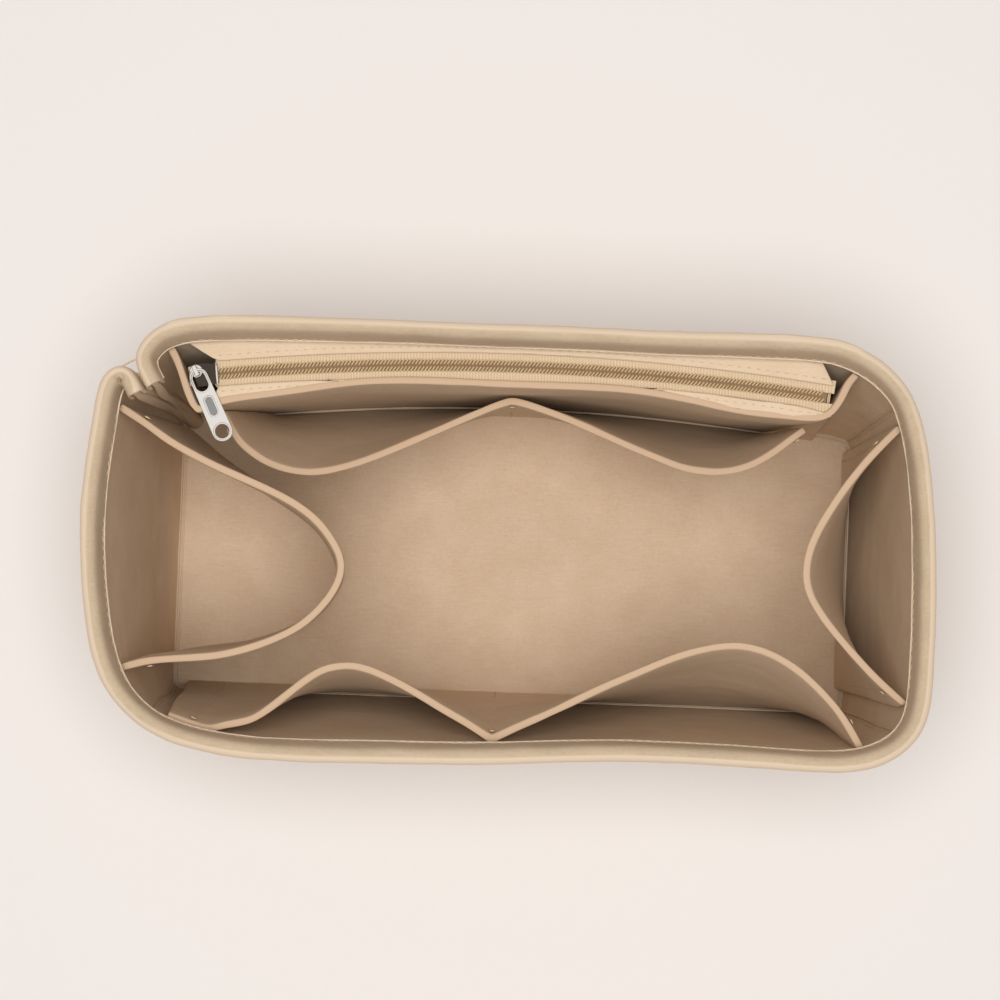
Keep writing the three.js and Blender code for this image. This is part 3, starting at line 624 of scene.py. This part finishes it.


# Where a felt is given a third colour, that colour is its painted highlight along the cut edges.
PANEL_FELT = pressed_felt("panel_felt", "#D3BA9E", "#E1CCB3", edge_highlight="#DECAB0")
POCKET_FELT = pressed_felt("pocket_felt", "#CFB69B", "#DBC6AD", edge_highlight="#CEB498")
FLANGE_FELT = pressed_felt("flange_felt", "#DAC4A8", "#E4D1B8")
TAPE = woven_tape("zip_tape_weave", "#C9B292", "#E6D4B9")
NYLON = dyed_nylon("coil_nylon", "#BEA47E", "#D8C09B")
# The cord is painted darker than the turns, a painted shade that shows in the gaps between them.
CORD = dyed_nylon("coil_cord_nylon", "#80684B", "#957B5B")
THREAD = sewing_thread("sewing_thread", "#C6AE90", "#D4BE9F")
METAL = plated_zinc("plated_zinc", "#EFEDEA")
# The slider's plating is tinted dark, a painted reflection of the shade around it that its chrome
# mirrors.
SLIDER_METAL = plated_zinc("plated_zinc_painted_dark", "#4D463F")
# The pull's sunk panel is only tinted a darker grey than the rest of the plating.
PULL_PANEL_METAL = plated_zinc("plated_zinc_grey", "#9A9C9E")

# The rim's folded strip leans to grey. Its outer lip is painted paler and warmer, a painted highlight
# where the fold's outer edge catches the light.
BINDING = pressed_felt("binding_felt", "#BBA78E", "#CBB9A0", edge_highlight="#DDCBB4")
# The cord along the binding's edge is felt painted paler, a painted highlight where the cut edge
# catches the light.
EDGE_FELT = pressed_felt("binding_edge_felt", "#E0CFB8", "#EBDCC8")


def bevel(piece, width, angle=SHARP, segments=2):
    """Rounds a piece's sharp edges."""
    modify(
        piece, "BEVEL", width=width, segments=segments, limit_method="ANGLE",
        angle_limit=angle, use_clamp_overlap=False,
    )


def smooth_out(piece, levels):
    """Subdivides a piece and shades it smooth."""
    modify(piece, "SUBSURF", levels=levels, render_levels=levels)
    piece.data.shade_smooth()


def rows_across(piece, axis, low, high, pitch):
    """Cuts rows into a piece square to an axis, for the wave and the lumps to move."""
    count = max(1, round((high - low) / pitch))
    normal = Vector([float(index == axis) for index in range(3)])
    with editing(piece):
        for row in range(1, count):
            bpy.ops.mesh.select_all(action="SELECT")
            bpy.ops.mesh.bisect(plane_co=normal * (low + (high - low) * row / count), plane_no=normal)


def mark(piece, strength):
    """Stores how far each point of a piece belongs to the painted highlight along its edge."""
    layer = piece.data.attributes.new("edge_highlight", "FLOAT", "POINT")
    values = [min(1.0, max(0.0, strength(vertex.co))) for vertex in piece.data.vertices]
    layer.data.foreach_set("value", values)


def felt_wall(node, name, material, rise=0):
    """A sewn sheet of felt in place of its solid, with rounded cut edges, a little out of true.
    Its top edge can rise past the solid's, and carries a painted highlight."""
    low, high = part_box(node)
    piece = copy_of(node, name)
    for vertex in piece.data.vertices:
        if vertex.co.z > high.z - EDGE_ROUND:
            vertex.co.z += rise
    rows_across(piece, 2, low.z, high.z, ROW_PITCH)
    bevel(piece, EDGE_ROUND)
    smooth_out(piece, 2)
    # The top edge gets the painted highlight.
    mark(piece, lambda spot: (spot.z - high.z - rise + HIGHLIGHT_DEPTH) / HIGHLIGHT_BLEND)
    pull_out_of_true(piece)
    return dress(piece, material, replaces=[node])


def base():
    """The felt floor."""
    low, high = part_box("base_panel")
    piece = copy_of("base_panel", "base_felt")
    rows_across(piece, 0, low.x, high.x, ROW_PITCH)
    rows_across(piece, 1, low.y, high.y, ROW_PITCH)
    bevel(piece, EDGE_ROUND)
    smooth_out(piece, 1)
    pull_out_of_true(piece)
    dress(piece, PANEL_FELT, replaces=["base_panel"])


def binding():
    """The strip folded over the rim. Its outer lip and its lower cut edge are painted paler, a
    painted highlight.
    """
    low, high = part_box("rim_binding")
    rails = section("rim_binding", (low.z + high.z) / 2)
    trees = []
    for rail in (rails[0], rails[-1]):
        places = stepped(rail, LIP_STEP)
        tree = kdtree.KDTree(len(places))
        for index, (spot, _) in enumerate(places):
            tree.insert((spot.x, spot.y, 0), index)
        tree.balance()
        trees.append(tree)

    def lip(spot):
        """How far a place belongs to the painted highlight on the outer lip."""
        inner, outer = (tree.find((spot.x, spot.y, 0))[2] for tree in trees)
        return (inner / (inner + outer) - LIP_START) / LIP_BLEND

    piece = copy_of("rim_binding", "binding_strip")
    bevel(piece, BINDING_ROUND)
    smooth_out(piece, 2)
    # The outer lip and the lower cut edge get the painted highlight.
    mark(piece, lambda spot: max(lip(spot), (low.z + HIGHLIGHT_DEPTH - spot.z) / HIGHLIGHT_BLEND))
    pull_out_of_true(piece, BINDING_LUMPS)
    dress(piece, BINDING, replaces=["rim_binding"])


def binding_trim():
    """The binding's stitches on either side of the rim, and the cord along its inner edge."""
    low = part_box("rim_binding")[0]
    rails = section("rim_binding", low.z + BINDING_STITCH_RISE)
    pinch = sum(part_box("corner_tack"), Vector()).xy / 2
    stitches(rails[0], "binding_stitches_inner", clear_of=pinch)
    stitches(rails[-1], "binding_stitches_outer", clear_of=pinch)
    rail = section("rim_binding", low.z + EDGE_CORD_RADIUS)[0]
    points = [spot for spot, _ in stepped(rail, SEAM_STEP / 4)]
    # The cord is painted paler, a painted highlight along the binding's edge.
    dress(welt(points, "binding_edge", EDGE_CORD_RADIUS), EDGE_FELT)


def felt_walls():
    """The four walls, the pocket walls and the pouch's front wall, whose edge stands up highest."""
    for node in ("rear_panel", "right_end_panel", "front_panel", "left_end_panel"):
        felt_wall(node, node.replace("panel", "felt"), PANEL_FELT)
    for node in ("left_pocket_wall", "right_pocket_wall", "front_pocket_wall", "rear_pocket_wall"):
        felt_wall(node, node.replace("wall", "felt"), POCKET_FELT)
    flange_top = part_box("zip_flange_front")[1].z
    rise = flange_top + POUCH_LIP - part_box("zip_pouch_wall")[1].z
    felt_wall("zip_pouch_wall", "zip_pouch_felt", POCKET_FELT, rise)


def welt(points, name, radius=WELT_RADIUS):
    """A sewn ridge of felt along a line of points, half sunk in the felt."""
    return cord_through([spot + wave(spot) for spot in points], radius, name)


def meeting_rails(first, second):
    """The inner rails of two walls at each height from the base to the binding, each from the end
    at which the walls meet."""
    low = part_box(first)[0].z
    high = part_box("rim_binding")[0].z + FELT
    steps = round((high - low) / SEAM_STEP)
    for step in range(steps + 1):
        height = low + (high - low) * step / steps
        rails = [section(node, height)[0] for node in (first, second)]
        ends = [(rail, rail[::-1]) for rail in rails]
        yield min(
            ((one, other) for one in ends[0] for other in ends[1]),
            key=lambda rails: (rails[0][0] - rails[1][0]).length,
        )


def pinch_seam(first, second, name):
    """The roll of felt that closes the pinched corner, between the two walls' turned-in ends."""
    line, swell = [], []
    for pair in meeting_rails(first, second):
        one, other = (stepped(rail, 2 * PINCH_ROLL_INSET)[0][0] for rail in pair)
        spot = (one + other) / 2
        line.append(spot + wave(spot))
        gap = (one - other).length / 2 - FELT
        swell.append(min(PINCH_SWELL, max(1, gap / PINCH_ROLL + PINCH_OVERLAP)))
    dress(cord_through(line, PINCH_ROLL, name, swell), PANEL_FELT)


def corner_seam(first, second, name):
    """The seam where two walls meet: a roll of felt that closes it, and a ridge on either side."""
    sides = ([], [], [])
    for pair in meeting_rails(first, second):
        places = [stepped(rail, WELT_SPREAD)[0] for rail in pair]
        outward = sum((inward_at(spot, along) for spot, along in places), Vector()).normalized() * -1
        core = (pair[0][0] + pair[1][0]) / 2 + outward * FELT / 2
        for side, spot in zip(sides, (core, places[0][0], places[1][0])):
            side.append(spot)
    radii = (FELT / 2, WELT_RADIUS, WELT_RADIUS)
    ridges = [welt(side, name, radius) for side, radius in zip(sides, radii)]
    dress(joined(name, *ridges), PANEL_FELT)


def base_seam(node, name):
    """The seam along a wall's foot: a roll of felt that closes it, and a ridge on the wall and on
    the base."""
    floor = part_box("base_panel")[1].z
    rail = section(node, floor + WELT_SPREAD)[0]
    places = [(rail[0], (rail[1] - rail[0]).normalized())]
    places += stepped(rail, SEAM_STEP)
    places += [(rail[-1], (rail[-1] - rail[-2]).normalized())]
    inward = [inward_at(spot, along) for spot, along in places]
    drop = Vector((0, 0, WELT_SPREAD))
    on_wall = [spot for spot, along in places]
    on_base = [spot + side * WELT_SPREAD - drop for spot, side in zip(on_wall, inward)]
    core = [spot - side * FELT / 2 - drop for spot, side in zip(on_wall, inward)]
    ridges = [welt(on_wall, name), welt(on_base, name), welt(core, name, FELT / 2 - EDGE_ROUND / 2)]
    dress(joined(name, *ridges), PANEL_FELT)


def foot_roll(node):
    """The rolled foot of a pocket wall, which closes it to the base."""
    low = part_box(node)[0].z
    near, far = section(node, low + FELT / 2)[:2]
    drop = Vector((0, 0, FELT / 2))
    points = [near[0]] + [spot for spot, _ in stepped(near, SEAM_STEP / 2)] + [near[-1]]
    points = [(spot + nearest_on(far, spot)[0]) / 2 - drop for spot in points]
    name = node.replace("wall", "foot_roll")
    dress(welt(points, name, FELT / 2 - EDGE_ROUND / 2), POCKET_FELT)


def seams():
    """The rolls at the pockets' feet and the seams of the four walls."""
    for place in ("left_pocket", "right_pocket", "front_pocket", "rear_pocket", "zip_pouch"):
        foot_roll(place + "_wall")
    pinch_seam("rear_panel", "left_end_panel", "pinch_seam_rear_left")
    corner_seam("rear_panel", "right_end_panel", "corner_seam_rear_right")
    corner_seam("front_panel", "right_end_panel", "corner_seam_front_right")
    corner_seam("front_panel", "left_end_panel", "corner_seam_front_left")
    for side in ("rear", "right_end", "front", "left_end"):
        base_seam(side + "_panel", "base_seam_" + side)


def bar_tack(node, name, reach=TACK_REACH):
    """Close turns of thread that lie across a seam's end and reach a little past the solid."""
    spots = np.array(spots_of(node))
    low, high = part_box(node)
    middle = (low + high) / 2
    flat = spots[:, :2] - (middle.x, middle.y)
    across = np.linalg.eigh(flat.T @ flat)[1][:, 1]
    length = 2 * np.abs(flat @ across).max() + reach
    turns = round((high.z - low.z) / TACK_TURN)
    places = []
    for turn in range(turns):
        level = low.z + (high.z - low.z) * (turn + 0.5) / turns
        spot = Vector((middle.x, middle.y, level))
        tilt = TACK_TILT * (1 if turn % 2 else -1)
        places.append(facing(spot + wave(spot), Vector((*across, tilt)).normalized()))
    turns_of_thread(places, name, length, TACK_RADIUS, [node])


def pocket_seam(wall, tack, name):
    """A row of upright stitches down a pocket wall, from a bar tack to the wall's foot."""
    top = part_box(tack)[0]
    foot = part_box(wall)[0].z + FELT
    spot = (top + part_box(tack)[1]) / 2
    steps = round((top.z - foot) / SEAM_STEP)
    line = []
    for step in range(steps + 1):
        height = top.z + (foot - top.z) * step / steps
        spot.z = height
        found = [nearest_on(rail, spot)[0] for rail in section(wall, height)]
        spot = min(found, key=lambda point: (point - spot).length)
        line.append(spot.copy())
    places = [
        facing(place + wave(place), along, up=Vector((0, 1, 0)))
        for place, along in stepped(line, STITCH_LENGTH + STITCH_GAP)
    ]
    turns_of_thread(places, name)


def sewing():
    """The bar tacks, and the row of stitches below each that holds a pocket wall."""
    bar_tack("corner_tack", "corner_tack_turns", CORNER_TACK_REACH)
    for pocket, ends in {
        "left": ("rear", "front"),
        "right": ("rear", "front"),
        "front": ("right", "middle", "left"),
        "rear": ("left", "middle", "right"),
    }.items():
        for end in ends:
            tack = f"{pocket}_pocket_tack_{end}"
            bar_tack(tack, tack + "_turns")
            pocket_seam(f"{pocket}_pocket_wall", tack, f"{pocket}_pocket_seam_{end}")


QUARTER_TURN = Matrix.Rotation(math.pi / 2, 4, "Z")

# The zip's arc: its far centre, about which the slider turns, and its radius.
zip_centre = Vector(joints["slider_travel"]["pos_m"])
zip_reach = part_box("zip_coil_rear")[1].y - zip_centre.y - COIL_HALF_WIDTH


def zip_span(spots):
    """Where along the zip's arc some places begin and end."""
    angles = [math.atan2(spot.x - zip_centre.x, spot.y - zip_centre.y) for spot in spots]
    return min(angles) * zip_reach, max(angles) * zip_reach


def on_zip(along, across, level):
    """The place of a copy on the zip's arc, whose X runs along the chain."""
    angle = along / zip_reach
    reach = zip_reach + across
    east, north = reach * math.sin(angle), reach * math.cos(angle)
    spot = Vector((zip_centre.x + east, zip_centre.y + north, level))
    return Matrix.Translation(spot) @ Matrix.Rotation(-angle, 4, "Z")


def wire_turn(length, radius):
    """One visible turn of the coil's wire, a round bar with blunt ends."""
    bpy.ops.mesh.primitive_cylinder_add(vertices=8, radius=radius, depth=length)
    turn = bpy.context.object
    turn.rotation_euler.y = math.pi / 2
    turn = settle(turn, "wire_turn")
    bevel(turn, radius * WIRE_BLUNT)
    return turn


def across_zip(spot):
    """How far a place lies behind the zip's arc, or in front of it where that is negative."""
    return (spot.xy - zip_centre.xy).length - zip_reach


def move_across(vertex, across):
    """Moves a vertex square to the zip's arc, to a distance behind or in front of it."""
    outward = (vertex.co.xy - zip_centre.xy).normalized()
    vertex.co.xy = zip_centre.xy + outward * (zip_reach + across)


def coil_half(node, side, name):
    """One half of the coil: turns of nylon wire across a cord that is painted darker, a painted shade
    that shows in the gaps between the turns. The turns of the two halves lean and line up, so that
    they show as one row of slanting teeth. The cords meet in the middle."""
    low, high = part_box(node)
    reach = (COIL_HALF_WIDTH - COIL_TIP) / 2
    middle = COIL_HALF_WIDTH - reach
    slant = math.atan(COIL_PITCH * COIL_LEAN / middle)
    length = 2 * ((reach - COIL_WIRE) / math.cos(slant) + COIL_WIRE)
    lean = Matrix.Rotation(math.pi / 2 - slant, 4, "Z")
    start, end = zip_span(spots_of(node))
    offset = COIL_PITCH / 2 if side > 0 else 0
    count = int((end - start - 2 * reach - offset) / COIL_PITCH) + 1
    places = [
        on_zip(start + reach + offset + turn * COIL_PITCH, side * middle, high.z - COIL_WIRE) @ lean
        for turn in range(count)
    ]
    dress(copies(wire_turn(length, COIL_WIRE), places, name), NYLON, replaces=[node])
    cord = copy_of(node, name + "_cord")
    for vertex in cord.data.vertices:
        vertex.co.z = low.z + (vertex.co.z - low.z) * CORD_SHARE
        if abs(across_zip(vertex.co)) < COIL_HALF_WIDTH / 2:
            move_across(vertex, 0)
    dress(cord, CORD)


def tape_half(node, side, name):
    """One side of the zip's tape, with the ribs of its weave. Its inner edge is sewn under the
    coil. Past the flange's end it is cut narrow, to run under the slider."""
    low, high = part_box(node)
    strip = copy_of(node, name)
    for vertex in strip.data.vertices:
        if abs(across_zip(vertex.co)) < COIL_HALF_WIDTH + TAPE_UNDER_COIL:
            move_across(vertex, side * (COIL_HALF_WIDTH - TAPE_UNDER_COIL))
    rows_across(strip, 0, low.x, high.x, ROW_PITCH / 4)
    for vertex in strip.data.vertices:
        if vertex.co.x < low.x + NARROW_RUN and across_zip(vertex.co) * side > NARROW_HALF_WIDTH:
            move_across(vertex, side * NARROW_HALF_WIDTH)
    bevel(strip, TAPE_ROUND)
    start, end = zip_span(spots_of(node))
    count = int((end - start) / RIB_PITCH)
    middle = side * (COIL_HALF_WIDTH + RIB_LENGTH / 2)
    places = [
        on_zip(start + (rib + 0.5) * RIB_PITCH, middle, high.z - RIB_SINK) @ QUARTER_TURN
        for rib in range(math.ceil(NARROW_RUN / RIB_PITCH), count)
    ]
    ribs = copies(thread_bar(RIB_LENGTH, RIB_RADIUS), places, "ribs")
    dress(joined(name, strip, ribs), TAPE, replaces=[node])


def zip_stop(node, name):
    """Turns of thread that close the end of the chain."""
    low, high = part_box(node)
    start, end = zip_span(spots_of(node))
    places = [
        on_zip(start + (end - start) * share, 0, (low.z + high.z) / 2) @ QUARTER_TURN
        for share in STOP_TURNS
    ]
    turns_of_thread(places, name, 2 * COIL_HALF_WIDTH, STOP_RADIUS, [node])


def flange(node, side, name):
    """A felt flange beside the zip's slot, sewn to the tape with a sunk row of stitches. The front
    one ends inside the pouch wall, whose edge stands up past it, and is tucked into the wall where
    the wall comes up to the slot."""
    low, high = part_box(node)
    piece = copy_of(node, name)
    if side < 0:
        vertices = piece.data.vertices
        widths = [-across_zip(vertex.co) - SLOT_HALF_WIDTH for vertex in vertices]
        outer = sorted(
            (vertex.co.x, width) for vertex, width in zip(vertices, widths) if width > SLOT_EDGE
        )
        for vertex, width in zip(vertices, widths):
            if width > SLOT_EDGE:
                move_across(vertex, -SLOT_HALF_WIDTH - max(width - FELT / 2, FLANGE_LEAST))
            elif np.interp(vertex.co.x, *zip(*outer)) < FELT + TUCK_FROM:
                move_across(vertex, -SLOT_HALF_WIDTH - FLANGE_TUCK)
    rows_across(piece, 0, low.x, high.x, ROW_PITCH)
    bevel(piece, FLANGE_ROUND)
    smooth_out(piece, 1)
    dress(piece, FLANGE_FELT, replaces=[node])
    start, end = zip_span(
        spot for spot in spots_of(node) if abs(across_zip(spot) - side * SLOT_HALF_WIDTH) < SLOT_EDGE
    )
    across = side * (SLOT_HALF_WIDTH + FLANGE_STITCH_INSET)
    pitch = STITCH_LENGTH + STITCH_GAP
    places = [
        on_zip(start + (stitch + 0.5) * pitch, across, high.z - STITCH_SINK)
        for stitch in range(int((end - start) / pitch))
    ]
    turns_of_thread(places, name + "_stitches")


def casting(node, name, angle):
    """A cast metal piece with rounded arrises, smooth between them."""
    piece = copy_of(node, name)
    bevel(piece, METAL_ROUND, angle, segments=3)
    select_only(piece)
    bpy.ops.object.shade_smooth_by_angle(angle=SHARP)
    return piece


def laid_oblong(piece, half_length, place):
    """Draws a round piece out along its X into an oblong, and lays it at a place on the pull."""
    for vertex in piece.data.vertices:
        vertex.co.x += math.copysign(half_length, vertex.co.x)
    piece.data.transform(place)
    return piece


def bead(name, radius, half_length, place):
    """A raised rim on the pull, round or oblong, along the pull's length."""
    bpy.ops.mesh.primitive_torus_add(
        major_segments=32, minor_segments=8, major_radius=radius, minor_radius=PULL_BEAD,
    )
    rim = laid_oblong(settle(bpy.context.object, name), half_length, place)
    rim.data.shade_smooth()
    return rim


def slider_and_crown():
    """The cast slider, with a rib across its tail, and the crown that holds the pull."""
    slider = casting("zip_slider", "slider_casting", CAST_SHARP)
    # The slider takes the dark tint, its painted reflection.
    dress(slider, SLIDER_METAL, "slider", ["zip_slider"])
    crown = casting("zip_crown", "crown_casting", CAST_SHARP)
    dress(crown, METAL, "crown", ["zip_crown"])
    tail = zip_span(spots_of("zip_slider"))[1] - TAIL_RIB_RADIUS
    place = on_zip(tail, 0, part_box("zip_slider")[1].z) @ QUARTER_TURN
    rib = copies(thread_bar(TAIL_RIB_LENGTH, TAIL_RIB_RADIUS), [place], "slider_tail_rib")
    dress(rib, METAL, "slider")


def pull():
    """The cast pull, with raised rims round its eye, its hole and its panel, which is tinted darker
    grey.
    """
    plate = casting("zip_pull", "pull_plate", SHARP)
    axis = joints["pull_flip"]["axis"]
    ahead = Vector((-axis[1], axis[0]))
    eye_end = Vector(joints["pull_flip"]["pos_m"]).xy
    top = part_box("zip_pull")[1].z
    turn = Matrix.Rotation(math.atan2(ahead.y, ahead.x), 4, "Z")
    at_hole, at_eye, at_panel = (
        Matrix.Translation((*(eye_end + ahead * distance), top)) @ turn
        for distance in (
            PULL_REACH,
            (PULL_EYE_BAR + PULL_EYE_LENGTH) / 2,
            (PULL_EYE_BAR / 2 + PULL_EYE_LENGTH + PULL_REACH - PULL_TIP_RADIUS) / 2,
        )
    )
    eye_half = (PULL_EYE_LENGTH - PULL_EYE_WIDTH) / 2
    panel_half = (PULL_PANEL_LENGTH - PULL_PANEL_WIDTH) / 2
    beads = [
        bead("hole_rim", PULL_HOLE_RADIUS + PULL_BEAD, 0, at_hole),
        bead("eye_rim", PULL_EYE_WIDTH / 2 + PULL_BEAD, eye_half, at_eye),
        bead("panel_rim", PULL_PANEL_WIDTH / 2, panel_half, at_panel),
    ]
    dress(joined("pull_plate", plate, *beads), METAL, "pull", ["zip_pull"])
    bpy.ops.mesh.primitive_cylinder_add(
        radius=PULL_PANEL_WIDTH / 2, depth=PULL_PANEL_DEPTH, vertices=32,
    )
    panel = laid_oblong(settle(bpy.context.object, "pull_panel"), panel_half, at_panel)
    dress(panel, PULL_PANEL_METAL, "pull")


def zip_chain():
    """The two halves of the zip with their flanges, and the stops at its ends."""
    for side, place in ((1, "rear"), (-1, "front")):
        coil_half(f"zip_coil_{place}", side, f"coil_loops_{place}")
        tape_half(f"zip_tape_{place}", side, f"ribbed_tape_{place}")
        flange(f"zip_flange_{place}", side, f"zip_flange_felt_{place}")
    for end in ("left", "right"):
        zip_stop(f"zip_stop_{end}", f"zip_stop_turns_{end}")


def matt_paint(name, colour):
    """Matt paint on a flat board: no gloss, so that it shows its colour alone."""
    material, _, shader, _ = new_material(name)
    shader.inputs["Base Color"].default_value = linear(colour)
    shader.inputs["Roughness"].default_value = 1
    shader.inputs["Specular IOR Level"].default_value = 0
    return material


def studio():
    """A pale floor under plain soft light from overhead."""
    bpy.ops.mesh.primitive_plane_add(size=FLOOR_SIZE, location=(0, 0, -FLOOR_DROP))
    floor = bpy.context.object
    floor.name = "floor"
    floor.data.materials.append(matt_paint("painted_backdrop", FLOOR_PAINT))
    floor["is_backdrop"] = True
    lamp = bpy.data.lights.new("overhead", "AREA")
    lamp.shape = "DISK"
    lamp.size = LAMP_SIZE
    lamp.energy = LAMP_POWER
    lamp.color = linear(LAMP_COLOUR)[:3]
    light = bpy.data.objects.new("overhead", lamp)
    light.location = LAMP_PLACE
    light.visible_glossy = False
    light.rotation_euler = (-Vector(LAMP_PLACE)).to_track_quat("-Z", "Y").to_euler()
    bpy.context.scene.collection.objects.link(light)
    world = bpy.data.worlds.new("studio")
    world.use_nodes = True
    tree = world.node_tree
    tree.nodes.clear()
    path = add(tree, "ShaderNodeLightPath")
    seen = path.outputs["Is Camera Ray"]
    for ray in ("Is Glossy Ray", "Is Transmission Ray"):
        either = add(tree, "ShaderNodeMath", {"operation": "MAXIMUM"}, _0=seen, _1=path.outputs[ray])
        seen = either.outputs[0]
    level = add(tree, "ShaderNodeMapRange", {"To Min": WORLD_LEVEL, "To Max": 1}, Value=seen)
    tint = add(
        tree, "ShaderNodeMix", {"data_type": "RGBA", 6: linear(AMBIENT), 7: linear(BACKDROP)}, _0=seen
    )
    sky = add(tree, "ShaderNodeBackground", Color=tint.outputs[2], Strength=level.outputs[0])
    add(tree, "ShaderNodeOutputWorld", Surface=sky.outputs[0])
    bpy.context.scene.world = world
    bpy.context.scene.view_settings.view_transform = "Standard"


base()
felt_walls()
binding()
binding_trim()
seams()
sewing()
zip_chain()
slider_and_crown()
pull()
studio()

boxes = {"cad": cad_box, "visual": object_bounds()}
{name: [list(corner) for corner in box] for name, box in boxes.items()}
